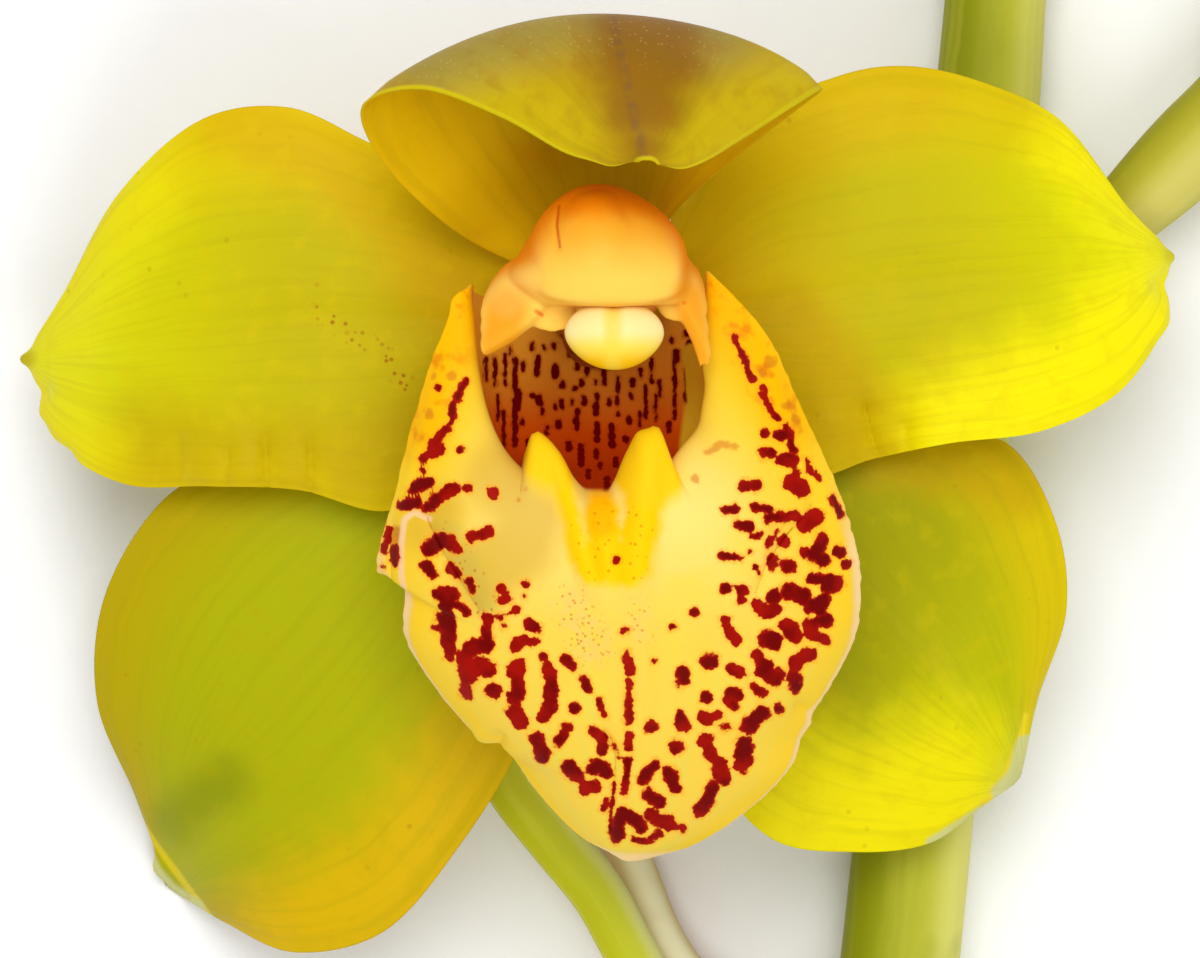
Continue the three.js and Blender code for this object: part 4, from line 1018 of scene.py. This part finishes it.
# Other marks of the lip, by the name of the field that tells how far away they are.
LIP_MARKS = {
    "callus": [
        (7, [(561, 458), (566, 492), (578, 556)]), (16, [(650, 448), (644, 505), (634, 560)]),
        (22, [(598, 560), (628, 562)]), (15, [(602, 512), (606, 550)]),
    ],
    "valley": [(5, [(600, 494), (603, 525)])],
    "lobes": [
        (26, [(462, 296), (440, 360), (420, 430)]), (26, [(722, 292), (752, 350), (790, 420)]),
    ],
    # Painted shade lies on the left cheek, along the fold and in the cavity.
    "cheek": [
        (16, [(500, 476), (532, 512), (520, 546), (486, 570)]), (5, [(440, 508), (428, 528)]),
    ],
    "fold": [(3, [(450, 536), (466, 566), (484, 606)])],
    "cavity": [(3, [(397, 532), (396, 556)])],
    "curl": [(1.6, [(430, 519), (414, 512), (404, 520), (401, 545), (401, 576), (405, 602)])],
    "pink": [(16, [(570, 604), (592, 646)]), (6, [(640, 612), (642, 632)])],
    "faint": [
        (2.5, [(707, 452), (720, 444), (736, 446)]), (3.5, [(695, 479)]), (4, [(452, 375)]),
        (4, [(430, 414)]), (2.5, [(434, 375)]), (6, [(770, 362)]), (4, [(787, 405)]),
        (4, [(795, 420)]), (1.2, [(519, 500)]), (1.2, [(526, 489)]), (3, [(762, 372)]),
    ],
    "strip": [(7, [(692, 350), (696, 400), (690, 448)])],
}
LIP_HEIGHT = 21                        # the blade above the petal roots, where marks are seen
THROAT_HEIGHT = 10                     # the same for the throat's dashes
ROW_UNIT = 1000                        # the field row counts in this many squares
LEFT_HORN_TINT = 0.7                   # of the left horn, as a share of the right one's
THROAT_EDGE = 0.025                    # over which the throat's colour ends, along the lip


def lip_fields(vertices, fields):
    """Adds how far each point is from the marks, and how deep it lies in the throat."""
    seen = squares_of(vertices, LIP_HEIGHT)
    dashes = [
        (wide, [(column, row - tall + wide), (column, row + tall - wide)])
        for column, row, wide, tall in DASHES
    ]
    fields["blotch"] = distance_to(BLOTCHES, seen)
    fields["dash"] = distance_to(dashes, squares_of(vertices, THROAT_HEIGHT))
    for mark, lines in LIP_MARKS.items():
        fields[mark] = distance_to(lines, seen)
    u, side, across = fields["u"], fields["v"] > 0, abs(fields["v"])
    left, right = (horn_reach(keel, u, across) for keel in KEELS)
    fields["horn"] = np.where(side, right, LEFT_HORN_TINT * left)
    fields["throat"] = 1 - smooth_step(CREST - THROAT_EDGE, CREST, u)
    fields["row"] = seen[:, 1] / ROW_UNIT
    return fields


def lip_material():
    m = Material("lip_skin", srgb(246, 206, 72), subsurface=0.04, specular=0.06)
    paint_lip_blade(m)
    paint_lip_spots(m)
    paint_throat(m)
    m.paint(srgb(222, 190, 56), m.math("SUBTRACT", 1.0, m.field("front")))
    m.bump(m.lines(m.field("u"), m.field("v"), 30, 1.0), 0.03)
    return m.finish()


def paint_lip_blade(m):
    """Cream to yellow, orange at the side lobes' tips, with the bright callus and the rim."""
    u, edge = m.field("u"), m.math("ABSOLUTE", m.field("v"))
    pale = m.times(m.step(edge, 0.75, 0.3), m.step(m.field("row"), 0.66, 0.48))
    m.paint(srgb(254, 226, 124), pale)
    m.paint(srgb(236, 214, 70), m.step(m.noise(5.0, 3.0), 0.45, 0.7), 0.5)
    m.paint(srgb(250, 206, 40), m.step(edge, 0.5, 0.92))
    # Painted shade on the left cheek, below the horn.
    m.mark("cheek", srgb(212, 168, 50), 40, 0, 0.65)
    m.mark("lobes", srgb(250, 186, 2), 30, -20)
    streaks = m.step(m.lines(u, m.field("v"), 26, 1.4), 0.42, 0.66)
    m.paint(srgb(222, 212, 90), streaks, m.step(m.field("row"), 0.6, 0.68), 0.3)
    # Painted shade along the fold on the blade's left.
    m.mark("fold", srgb(206, 178, 70), 20, 0, 0.6)
    # Painted shade in the cavity at the left lappet.
    m.mark("cavity", srgb(196, 108, 16), 6, 0, 0.8)
    m.mark("curl", srgb(252, 206, 150), 3, 0, 0.9)
    mottle = m.step(m.noise(1.8), 0.5, 0.72)
    m.paint(srgb(228, 124, 6), mottle, m.step(m.field("lobes"), 12, -20), 0.75)
    callus = m.math("ADD", m.field("callus"), m.ragged(1.5, 3))
    m.paint(srgb(254, 206, 4), m.step(callus, 10, -4))
    m.mark("valley", srgb(252, 182, 2), 14, 0, 0.8)
    m.paint(srgb(214, 110, 6), m.dots(0.9, 0.16), m.step(m.field("callus"), 4, -4), 0.5)
    frayed = m.math("ADD", edge, m.ragged(0.8, 0.012))
    hem = srgb(252, 214, 156)
    m.paint(hem, m.step(frayed, 0.91, 0.965), m.step(u, 0.42, 0.55), 0.85)
    m.paint(hem, m.step(u, 0.955, 0.985), 0.85)


def paint_lip_spots(m):
    """Faint freckles, then the crimson blotches with their orange seams."""
    rosy = m.step(m.field("pink"), 16, -8)
    m.paint(srgb(250, 200, 110), rosy, m.step(m.noise(1.0), 0.4, 0.6), 0.5)
    m.paint(srgb(206, 96, 40), rosy, m.dots(0.55, 0.2), 0.6)
    m.paint(srgb(190, 90, 20), m.step(m.field("fold"), 18, 4), m.dots(0.7, 0.2), 0.6)
    faint = m.math("ADD", m.field("faint"), m.ragged(0.8, 2))
    m.paint(srgb(206, 110, 20), m.step(faint, 3, -1), 0.6)
    fray = m.math("ADD", m.ragged(1.2, 2.8), m.ragged(0.4, 1.0))
    blotch = m.math("ADD", m.math("ADD", m.field("blotch"), -0.5), fray)
    m.paint(srgb(252, 150, 16), m.step(blotch, 4.5, 0.0), 0.5)
    m.paint(srgb(164, 12, 4), m.step(blotch, 0.9, -0.5))
    m.paint(srgb(112, 0, 2), m.step(blotch, -0.5, -3.0), m.step(m.noise(5.0, 3.0), 0.35, 0.6))


def paint_throat(m):
    """Orange above to red brown below, with dark dashes except on a strip at the right."""
    throat, row = m.field("throat"), m.field("row")
    skin = m.mix(m.step(row, 0.345, 0.44), srgb(255, 196, 60), srgb(222, 92, 8))
    m.paint(m.mix(m.step(row, 0.42, 0.48), skin, srgb(180, 56, 4)), throat)
    m.mark("strip", srgb(236, 214, 50), 6, 0, throat, 0.9)
    dash = m.math("ADD", m.field("dash"), m.ragged(0.8, 1.5))
    spotted = m.step(m.field("strip"), -1, 3)
    m.paint(srgb(196, 50, 4), throat, m.step(dash, 3.5, 0.0), spotted, 0.5)
    m.paint(srgb(112, 0, 4), throat, m.step(dash, 0.9, -0.6), spotted)
    m.mark("horn", srgb(254, 206, 20), 0.6, 1.8)


def lip():
    rows, columns = 320, 240
    vertices, faces, fields = sheet_mesh(
        lip_surface(), rows, columns, lambda u: np.full_like(u, LIP_THICKNESS), crowd=0.3,
    )
    piece = mesh_piece("lip_skin", vertices, faces, lip_fields(vertices, fields))
    dressed(piece, lip_material(), "lip")


# ------------------------------------------------------------------ column

# From root to tip: centre, half width, and how far the back and the underside lie from it.
COLUMN_STATIONS = [
    ((605, 330, 0.3), 3.6, 3.4, 3.4), ((604, 316, 6.0), 4.2, 4.0, 3.2),
    ((603, 290, 12.0), 5.4, 5.0, 3.0), ((603, 268, 17.5), 6.8, 6.2, 3.6),
    ((606, 262, 22.0), 7.5, 7.0, 4.6), ((608, 268, 25.5), 7.4, 6.4, 4.2),
    ((610, 280, 28.2), 6.4, 5.0, 3.0), ((612, 290, 29.8), 4.2, 2.8, 1.8),
    ((613, 293, 30.4), 1.8, 1.2, 0.8),
]
WINGS = [
    {
        "left": [(566, 262, 12.0), (556, 258, 18.0), (548, 268, 22.4), (556, 300, 25.2)],
        "mid": [(556, 272, 12.2), (530, 266, 18.2), (514, 284, 22.4), (525, 334, 25.4)],
        "right": [(548, 282, 12.4), (515, 274, 18.4), (489, 313, 22.4), (484, 358, 25.0)],
        "fullness": 0,
        "keel": 0,
    },
    {
        "left": [(642, 262, 12.0), (656, 260, 18.0), (668, 272, 22.4), (668, 298, 25.2)],
        "mid": [(652, 270, 12.2), (674, 266, 18.2), (686, 284, 22.6), (692, 338, 25.4)],
        "right": [(660, 280, 12.4), (688, 277, 18.4), (698, 308, 23.0), (703, 372, 25.4)],
        "fullness": 0,
        "keel": 0,
    },
]
CAP_CENTRE = (614, 338, 27.0)
CAP_HALF = (4.7, 3.3, 3.0)
POLLEN_HALF = (1.5, 1.5, 1.1)
POLLEN_APART = 1.1                     # each pollinium from the middle
CLEARANCE = 0.12                       # round the cap and the pollinia
CAP_GROOVE = [(2, [(612, 312), (613, 366)])]
# The flaps beside the cap, and the column's foot: centre and half sizes.
SWELLINGS = [
    ((553, 319, 24.5), (2.5, 1.6, 0.5)), ((676, 310, 24.6), (2.0, 1.5, 0.5)),
    ((588, 352, -0.2), (3.4, 2.0, 1.0)), ((572, 343, 0.6), (1.6, 1.6, 0.9)),
]
# The bell that the column spreads into, from its top down: its row, its left and right
# edges, how high they are, and how far its front stands out from them.
BELL = [
    (193, 590, 612, 21.5, 2.4), (202, 567, 628, 20.4, 6.2), (220, 545, 650, 19.6, 9.0),
    (241, 530, 673, 19.4, 10.2), (259, 519, 686, 19.8, 10.2), (273, 509, 693, 20.6, 9.4),
    (284, 509, 693, 21.8, 8.2), (293, 518, 690, 23.0, 6.9), (302, 531, 686, 24.1, 5.5),
    (309, 540, 681, 24.6, 4.5),
]
COLUMN_HEIGHT = 25                     # its front above the petal roots, where marks are seen
COLUMN_CREASES = [(0.3, 2.5, [(559, 211), (557, 230), (560, 254)])]
COLUMN_MARKS = {
    "line": [(0.2, [(559, 206), (557, 226), (560, 248)])],
    "nicks": [(0.4, [(536, 311), (542, 315)]), (0.4, [(684, 303)])],
    "wings": [(18, [(506, 312), (500, 345)]), (12, [(690, 296), (700, 370)])],
    "blush": [(8, [(522, 285), (508, 300)])],
}
DEEP = (6, 16)                         # heights between which the column's foot ends
SHARP_ANGLE = 55                       # between faces, where its skin has an edge


def column_body():
    steps, sides, squareness = 72, 64, 0.4
    taper, lean = 0.16, 0.8              # of its front: narrower and to the left
    centres = curve_through(bloom_points([s[0] for s in COLUMN_STATIONS]))
    sizes = curve_through([s[1:] for s in COLUMN_STATIONS])
    t = np.linspace(0, 1, steps + 1)
    centre, (wide, up, down) = centres(t), sizes(t).T
    angle = np.linspace(0, 2 * math.pi, sides, endpoint=False)
    sine = np.sin(angle)
    rise = np.where(sine > 0, up[:, None] * sine, -down[:, None] * abs(sine) ** squareness)
    rings = np.empty((steps + 1, sides, 3))
    front = np.maximum(sine, 0) ** 2
    rings[..., 0] = (centre[:, None, 0] - lean * front
                     + wide[:, None] * np.cos(angle) * (1 - taper * front))
    rings[..., 1] = centre[:, None, 1] + rise
    rings[..., 2] = centre[:, None, 2]
    return ring_mesh(rings)


def wing(shape):
    """A wing, thicker before it grows together with the column's body."""
    root_extra, rows, columns, seed = 0.9, 40, 24, 6
    return sheet_mesh(
        tepal_surface(shape, seed), rows, columns,
        lambda u: np.full_like(u, WING_THICKNESS + root_extra), thin_edge=0.7,
    )


def cap_lobes(x, y, z):
    """Two lobes with a groove between them over a narrower chin."""
    groove, groove_width, chin = 0.14, 0.2, 0.12
    pinch = 1 - groove * bell(x, 0, groove_width) * smooth_step(-0.7, 0.3, y)
    narrow = 1 - chin * (1 - smooth_step(-1, 0.2, y))
    return x * narrow, y * pinch, z * pinch


def cap_mesh(clearance=0.0):
    """The anther cap, hollowed from behind where the pollinia lie."""
    sides, rings = 120, 90
    centre = bloom_points([CAP_CENTRE])[0]
    vertices, faces, fields = ball_mesh(
        centre, np.add(CAP_HALF, clearance), sides, rings, shape=cap_lobes,
    )
    if not clearance:
        ceiling = 2                      # in half sizes, above which nothing is hollowed
        foot, half = centre - (0, 0, CAP_HALF[2]), np.add(POLLEN_HALF, CLEARANCE)
        for side in (-1, 1):
            x, y, z = ((vertices - foot - (side * POLLEN_APART, 0, 0)) / half).T
            roof = foot[2] + half[2] * np.sqrt(np.clip(1 - x ** 2 - y ** 2, 0, 1))
            under = (x ** 2 + y ** 2 < 1) & (vertices[:, 2] < roof) & (z < ceiling)
            vertices[under, 2] = roof[under]
    return vertices, faces, fields


def pollen_mesh(clearance=0.0):
    """The two pollinia, side by side behind the cap."""
    sides, rings = 40, 28
    foot = bloom_points([CAP_CENTRE])[0] - (0, 0, CAP_HALF[2])
    half = np.add(POLLEN_HALF, clearance)
    return joined([
        ball_mesh(foot + (side * POLLEN_APART, 0, 0), half, sides, rings) for side in (-1, 1)
    ])


def bell_mesh():
    """The column's bell: arched in front, nearly flat behind."""
    steps, sides, behind = 60, 72, 0.16
    row, left, right, height, stand = curve_through(BELL)(np.linspace(0, 1, steps + 1)).T
    angle = np.linspace(0, 2 * math.pi, sides, endpoint=False)
    sine = np.sin(angle)
    arch = np.where(sine > 0, sine, behind * sine)
    ends = bloom_points(np.stack([(left + right) / 2, row, height], -1))
    rings = np.repeat(ends[:, None], sides, axis=1)
    rings[..., 0] += (right - left)[:, None] * GRID / 2 * np.cos(angle)
    rings[..., 2] += stand[:, None] * arch
    return ring_mesh(rings)


def column_mesh():
    sides, rings = 32, 24
    solids = [column_body(), bell_mesh(), *[wing(w) for w in WINGS]]
    solids += [
        ball_mesh(bloom_points([place])[0], half, sides, rings) for place, half in SWELLINGS
    ]
    cutters = [cap_mesh(CLEARANCE), pollen_mesh(CLEARANCE)]
    vertices, faces, fields = grown_together("column", joined(solids), cutters)
    vertices = creased(vertices, COLUMN_CREASES)
    seen = squares_of(vertices, COLUMN_HEIGHT)
    fields["row"] = seen[:, 1] / ROW_UNIT
    fields["deep"] = 1 - smooth_step(*DEEP, vertices[:, 2] - BLOOM_LIFT)
    for mark, lines in COLUMN_MARKS.items():
        fields[mark] = distance_to(lines, seen)
    return vertices, faces, fields


def facing_up(piece):
    """Adds the field up: how far the skin faces away from the ground, -1 to 1, used to paint
    shade.
    """
    normals = np.empty(len(piece.data.vertices) * 3, np.float32)
    piece.data.vertex_normals.foreach_get("vector", normals)
    attribute = piece.data.attributes.new("up", "FLOAT", "POINT")
    attribute.data.foreach_set("value", normals[2::3].copy())


def column_material():
    wander = 0.02                        # of the bands of colour, in row units
    m = Material("column_skin", srgb(255, 206, 84), roughness=0.4, subsurface=0.1)
    level = m.math("ADD", m.field("row"), -wander / 2)
    row = m.math("MULTIPLY_ADD", m.noise(4.0), wander, level)
    m.paint(srgb(255, 176, 44), m.step(row, 0.285, 0.225))
    m.paint(srgb(255, 140, 8), m.step(row, 0.23, 0.2))
    m.paint(srgb(255, 156, 20), m.step(row, 0.204, 0.188), 0.9)
    m.mark("wings", srgb(244, 158, 8), 14, -8, 0.85)
    # Painted shade: a deeper orange where the upper column turns away from the ground, on its
    # sides.
    m.paint(srgb(244, 124, 2), m.step(m.field("up"), 0.8, 0.2), m.step(row, 0.33, 0.25), 0.9)
    m.mark("blush", srgb(254, 190, 90), 18, 0, 0.45)
    m.paint(srgb(190, 80, 6), m.field("deep"))
    m.mark("line", srgb(200, 70, 6), 2.2, 0, 0.75)
    m.mark("nicks", srgb(226, 84, 10), 3, 0, 0.7)
    m.bump(m.noise(1.2, 3.0), 0.03)
    return m.finish()


def cap_material():
    m = Material("cap_skin", srgb(255, 232, 156), roughness=0.35, subsurface=0.15)
    m.mark("row", srgb(255, 222, 84), 0.330, 0.350)
    m.mark("row", srgb(253, 198, 16), 0.346, 0.364)
    m.mark("groove", srgb(253, 216, 70), 12, 0, 0.7)
    # Painted shade: a deeper yellow along the cap's top, under the hood's edge.
    m.mark("row", srgb(253, 200, 70), 0.314, 0.302, 0.7)
    return m.finish()


def pollen_material():
    m = Material("pollen_skin", srgb(246, 206, 60), roughness=0.3)
    m.paint(srgb(228, 170, 20), m.step(m.noise(1.0), 0.35, 0.65))
    return m.finish()


def column():
    body = mesh_piece("column_skin", *column_mesh())
    body.data.set_sharp_from_angle(angle=math.radians(SHARP_ANGLE))
    facing_up(body)
    dressed(body, column_material(), "column")
    vertices, faces, fields = cap_mesh()
    seen = squares_of(vertices, COLUMN_HEIGHT)
    fields["row"] = seen[:, 1] / ROW_UNIT
    fields["groove"] = distance_to(CAP_GROOVE, seen)
    dressed(mesh_piece("anther_cap_skin", vertices, faces, fields), cap_material(),
            "anther_cap")
    dressed(mesh_piece("pollinarium_skin", *pollen_mesh()), pollen_material(),
            "pollinarium")


# ------------------------------------------------------------------ spike

SPIKE_LINE = [
    (784, 1900), (822, 1600), (862, 1300), (898, 1020), (927, 740),
    (953, 479), (968, 335), (995, 70), (1010, -180), (1010, -420),
]
# Row, side in degrees, length and spread in degrees of each node's bract.
NODES = [
    (1690, 200, 20, 150), (1450, 20, 18, 140), (1235, 165, 9, 75),
    (1095, 178, 8, 75), (331, 12, 8, 75), (-60, 165, 7, 75),
]


def spike_radius(row):
    steady, late, power = 0.32, 0.68, 10     # the parts of its taper, and how late the second is
    foot, tip = SPIKE_LINE[0][1], SPIKE_LINE[-1][1]
    share = np.clip((foot - row) / (foot - tip), 0, 1)
    return lerp(SPIKE_FOOT_RADIUS, SPIKE_TIP_RADIUS, steady * share + late * share ** power)


def spike_curve():
    seat = NODE_SWELL * 0.2              # so that the nodes' rings are pressed flat
    return curve_through(stem_points([
        (column, row, spike_radius(row) + seat) for column, row in SPIKE_LINE
    ]))


def spike_centres(rows):
    """Where the spike's axis is at grid rows."""
    fine = spike_curve()(np.linspace(0, 1, AXIS_STEPS + 1))
    y = (ORIGIN_SQUARE[1] - np.asarray(rows, float)) * GRID
    return np.stack([np.interp(y, fine[:, 1], fine[:, k]) for k in range(3)], -1)


def stalk():
    steps, sides = 420, 72
    roughness, along, around, seed = 0.04, 30, 9, 31
    points = even_steps(spike_curve(), steps)
    rows = ORIGIN_SQUARE[1] - points[:, 1] / GRID
    ring = np.max([bell((rows - n[0]) * GRID, 0, NODE_HALF_LENGTH) for n in NODES], axis=0)
    radii = (spike_radius(rows) + NODE_SWELL * ring)[:, None]

    def radius(t, angle):
        return radii + roughness * ripple(t * along, angle * around, seed)
    return above_floor(*stem_mesh(points, radius, sides))


def bract(row, side, length, spread):
    """A sheathing bract: rooted in its node, pointed, and leaning off the stalk."""
    root_depth, tip_share, rows, columns = 0.6, 0.04, 24, 40
    narrowing, opening = 1.6, 0.7        # how late it narrows, how early it leaves the stalk
    lean = 1.1 + 0.09 * length           # how far its point stands off the stalk

    def surface(u, v):
        narrowed = spread * lerp(1, tip_share, u ** narrowing)
        angle = np.radians(side + v * narrowed)
        along = length * u
        ring = NODE_SWELL * bell(along, 0, NODE_HALF_LENGTH)
        away = spike_radius(row - along / GRID) + ring - root_depth
        away = away + (root_depth + lean) * u ** opening
        points = spike_centres(row - along / GRID)
        points[..., 0] += away * np.cos(angle)
        points[..., 2] += away * np.sin(angle)
        return points
    return above_floor(*sheet_mesh(
        surface, rows, columns, lambda u: np.full_like(u, BRACT_THICKNESS), thin_edge=0.4,
    ))


def spike():
    green = stem_material("spike_skin", srgb(138, 144, 8), srgb(196, 194, 62),
                          srgb(222, 218, 116), turn=0.69)
    dressed(mesh_piece("spike_skin", *stalk()), green, "spike")
    papery = stem_material("bract_skin", srgb(160, 138, 62), srgb(204, 186, 110),
                           srgb(216, 202, 132))
    bracts = mesh_piece("spike_bracts", *joined([bract(*node) for node in NODES]))
    dressed(bracts, papery, "spike")


# ------------------------------------------------------------------ pedicels and buds

BLOOM_PEDICEL = [
    (605, 330, 21.6), (604, 334, 17.6), (592, 362, 13.4), (560, 430, 10.2), (520, 520, 8.8),
    (490, 620, 8.2), (484, 705, 8.2), (510, 782, 8.2), (556, 845, 8.2), (598, 898, 8.2),
    (631, 958, 8.2), (668, 1020, 8.0), (722, 1085, 7.6), (790, 1155, 7.2), (870, 1240, 6.6),
]
STUB_PEDICEL = [
    (606, 770, 3.0), (620, 830, 2.9), (640, 890, 2.9), (670, 958, 2.9), (716, 1012, 3.4),
    (790, 1058, 4.6), (892, 1100, 6.4),
]
# Line; radius of the bud, of its pedicel and of its ovary; and the shares of the line where
# the ovary is full and where the bud begins.
BUDS = {
    "bud_side": ([
        (972, 335, 6.4), (1015, 316, 7.4), (1062, 276, 8.4), (1110, 230, 8.4),
        (1160, 182, 8.2), (1204, 139, 8.0), (1250, 92, 7.8), (1300, 25, 7.8),
        (1335, -60, 7.9), (1350, -140, 8.0),
    ], 7.3, 2.3, 4.4, 0.5, 0.6),
    "bud_upper": ([
        (1000, -60, 5.2), (960, -96, 6.0), (920, -130, 6.6), (882, -172, 6.6),
        (852, -225, 6.4), (836, -290, 6.2), (834, -360, 6.2),
    ], 5.9, 1.9, 2.6, 0.4, 0.46),
    "bud_tip": ([
        (1010, -424.5, 2.7), (1009, -455, 2.6), (1012, -490, 3.1), (1018, -540, 4.4),
        (1022, -600, 4.8), (1020, -655, 4.8),
    ], 4.7, 2.1, 2.2, 0.2, 0.28),
}


def bloom_pedicel_radius(t, angle):
    rib_count, ovary_ends, crown_length = 6, (0.3, 0.75), 0.05
    ovary = 1 - smooth_step(*ovary_ends, t)
    crown = bell(t, 0, crown_length)
    ribs = 1 + OVARY_RIB * ovary * (1 - crown) * np.cos(rib_count * angle)
    plain = PEDICEL_RADIUS + OVARY_SWELL * ovary
    return lerp(plain, RECEPTACLE_RADIUS, crown) * ribs


def stub_radius(t, _angle):
    """The stub swells a little before the scar, and the scar's edge is rounded."""
    swell, swell_length = 0.35, 0.06
    rounding, rounding_length = 0.8, 0.012
    return STUB_RADIUS + swell * bell(t, 0, swell_length) - rounding * bell(t, 0, rounding_length)


def bud_mesh(line, girth, pedicel, ovary, ovary_at, bud_from):
    sepals, sepal_ridge, tip_radius, ovary_starts = 3, 0.07, 0.35, 0.1
    early, plump, fading = 0.82, 0.8, 0.7    # powers that shape the bud and end its ovary
    steps, sides = 150, 72

    def radius(t, angle):
        below = lerp(pedicel, ovary, smooth_step(ovary_starts, ovary_at, t))
        s = np.clip((t - bud_from) / (1 - bud_from), 0, 1)
        swell = np.sin(np.clip(np.pi * s ** early, 0, np.pi)) ** plump
        seams = sepal_seams(angle, s)
        bud = girth * swell * (1 + sepal_ridge * np.cos(sepals * angle) - seams)
        return np.maximum(np.hypot(below * (1 - s) ** fading, bud), tip_radius)
    points = even_steps(curve_through(stem_points(line)), steps)
    return above_floor(*stem_mesh(points, radius, sides))


def sepal_seams(angle, s):
    """Grooves where the bud's three sepals meet, between their ridges."""
    depth, half_width, starts = 0.05, 0.12, (0.15, 0.4)
    third = 2 * np.pi / 3
    away = abs((angle % third) - third / 2)
    return depth * bell(away, 0, half_width) * smooth_step(*starts, s)


def pedicel(name, line, radius, material, steps, sides):
    points = even_steps(curve_through(stem_points(line)), steps)
    piece = mesh_piece(name + "_skin", *stem_mesh(points, radius, sides))
    dressed(piece, material, name)


def pedicels_and_buds():
    green = stem_material("pedicel_skin", srgb(196, 196, 24), srgb(214, 218, 70),
                          srgb(244, 244, 166), turn=0.6, stripes=6)
    pedicel("pedicel_bloom", BLOOM_PEDICEL, bloom_pedicel_radius, green, steps=260, sides=72)
    pale = stem_material("stub_skin", srgb(206, 150, 96), srgb(240, 226, 170),
                         srgb(252, 246, 214), turn=0.45, stripes=5)
    pedicel("pedicel_stub", STUB_PEDICEL, stub_radius, pale, steps=120, sides=48)
    bud_green = stem_material("bud_skin", srgb(158, 154, 24), srgb(194, 186, 62),
                              srgb(214, 204, 110), turn=0.6, stripes=8)
    for name, values in BUDS.items():
        dressed(mesh_piece(name + "_skin", *bud_mesh(*values)), bud_green, name)


# ------------------------------------------------------------------ floor, light, camera

def look_at(item, target):
    direction = Vector(target) - item.location
    item.rotation_euler = direction.to_track_quat("-Z", "Y").to_euler()


def floor():
    size, drop = 3.0, 0.2                # metres across, and millimetres below the stem
    bpy.ops.mesh.primitive_plane_add(size=size, location=(0, 0, -drop * MM))
    plane = bpy.context.object
    plane.name = "floor"
    m = Material("floor_paper", srgb(252, 252, 252), roughness=0.9, specular=0.05)
    m.paint(srgb(255, 255, 255), m.noise(3.0, 3.0))
    plane.data.materials.append(m.finish())


def area_light(name, place, size, power, target):
    light = bpy.data.lights.new(name, "AREA")
    light.shape = "DISK"
    light.size = size
    light.energy = power
    item = placed(name, light)
    item.location = place
    look_at(item, target)


# Each light: its place and width in metres, and its power in watts.
LIGHTS = {
    "key": ((-0.06, 0.36, 1.0), 0.7, 5.2),
    "fill": ((0.10, -0.60, 0.9), 0.5, 2.4),
}
LIT_SQUARE = (600, 400, 0)             # what the lights point at
SKY_STRENGTH = 0.58


def studio():
    world = bpy.data.worlds.new("studio")
    world.use_nodes = True
    world.node_tree.nodes["Background"].inputs["Color"].default_value = (1, 1, 1, 1)
    world.node_tree.nodes["Background"].inputs["Strength"].default_value = SKY_STRENGTH
    bpy.context.scene.world = world
    bpy.context.scene.view_settings.view_transform = "Standard"
    target = tuple(bloom_points([LIT_SQUARE])[0] * MM)
    for name, light in LIGHTS.items():
        area_light(name, *light, target)


def camera():
    made = bpy.data.cameras.new("camera")
    made.sensor_width = SENSOR
    made.lens = SENSOR * VIEW_DISTANCE / (VIEW_COLUMNS * GRID)
    made.clip_start = 0.05               # metres
    item = placed("camera", made)
    centre = bloom_points([(*VIEW_SQUARE, VIEW_DISTANCE)])[0]
    item.location = tuple(centre * MM)
    bpy.context.scene.camera = item


# ------------------------------------------------------------------ the scene

def bloom():
    tepals = {
        "petal_left": (PETAL_LEFT, PETAL_LEFT_COLOURS),
        "petal_right": (PETAL_RIGHT, PETAL_RIGHT_COLOURS),
        "sepal_left": (SEPAL_LEFT, SEPAL_LEFT_COLOURS),
        "sepal_right": (SEPAL_RIGHT, SEPAL_RIGHT_COLOURS),
    }
    for seed, (name, (shape, colours)) in enumerate(tepals.items(), 1):
        tepal(name, shape, tepal_material(name + "_wax", colours), seed)
    tepal("sepal_dorsal", SEPAL_DORSAL, hood_material(), seed=5)
    lip()
    column()


bloom()
spike()
pedicels_and_buds()
floor()
studio()
camera()
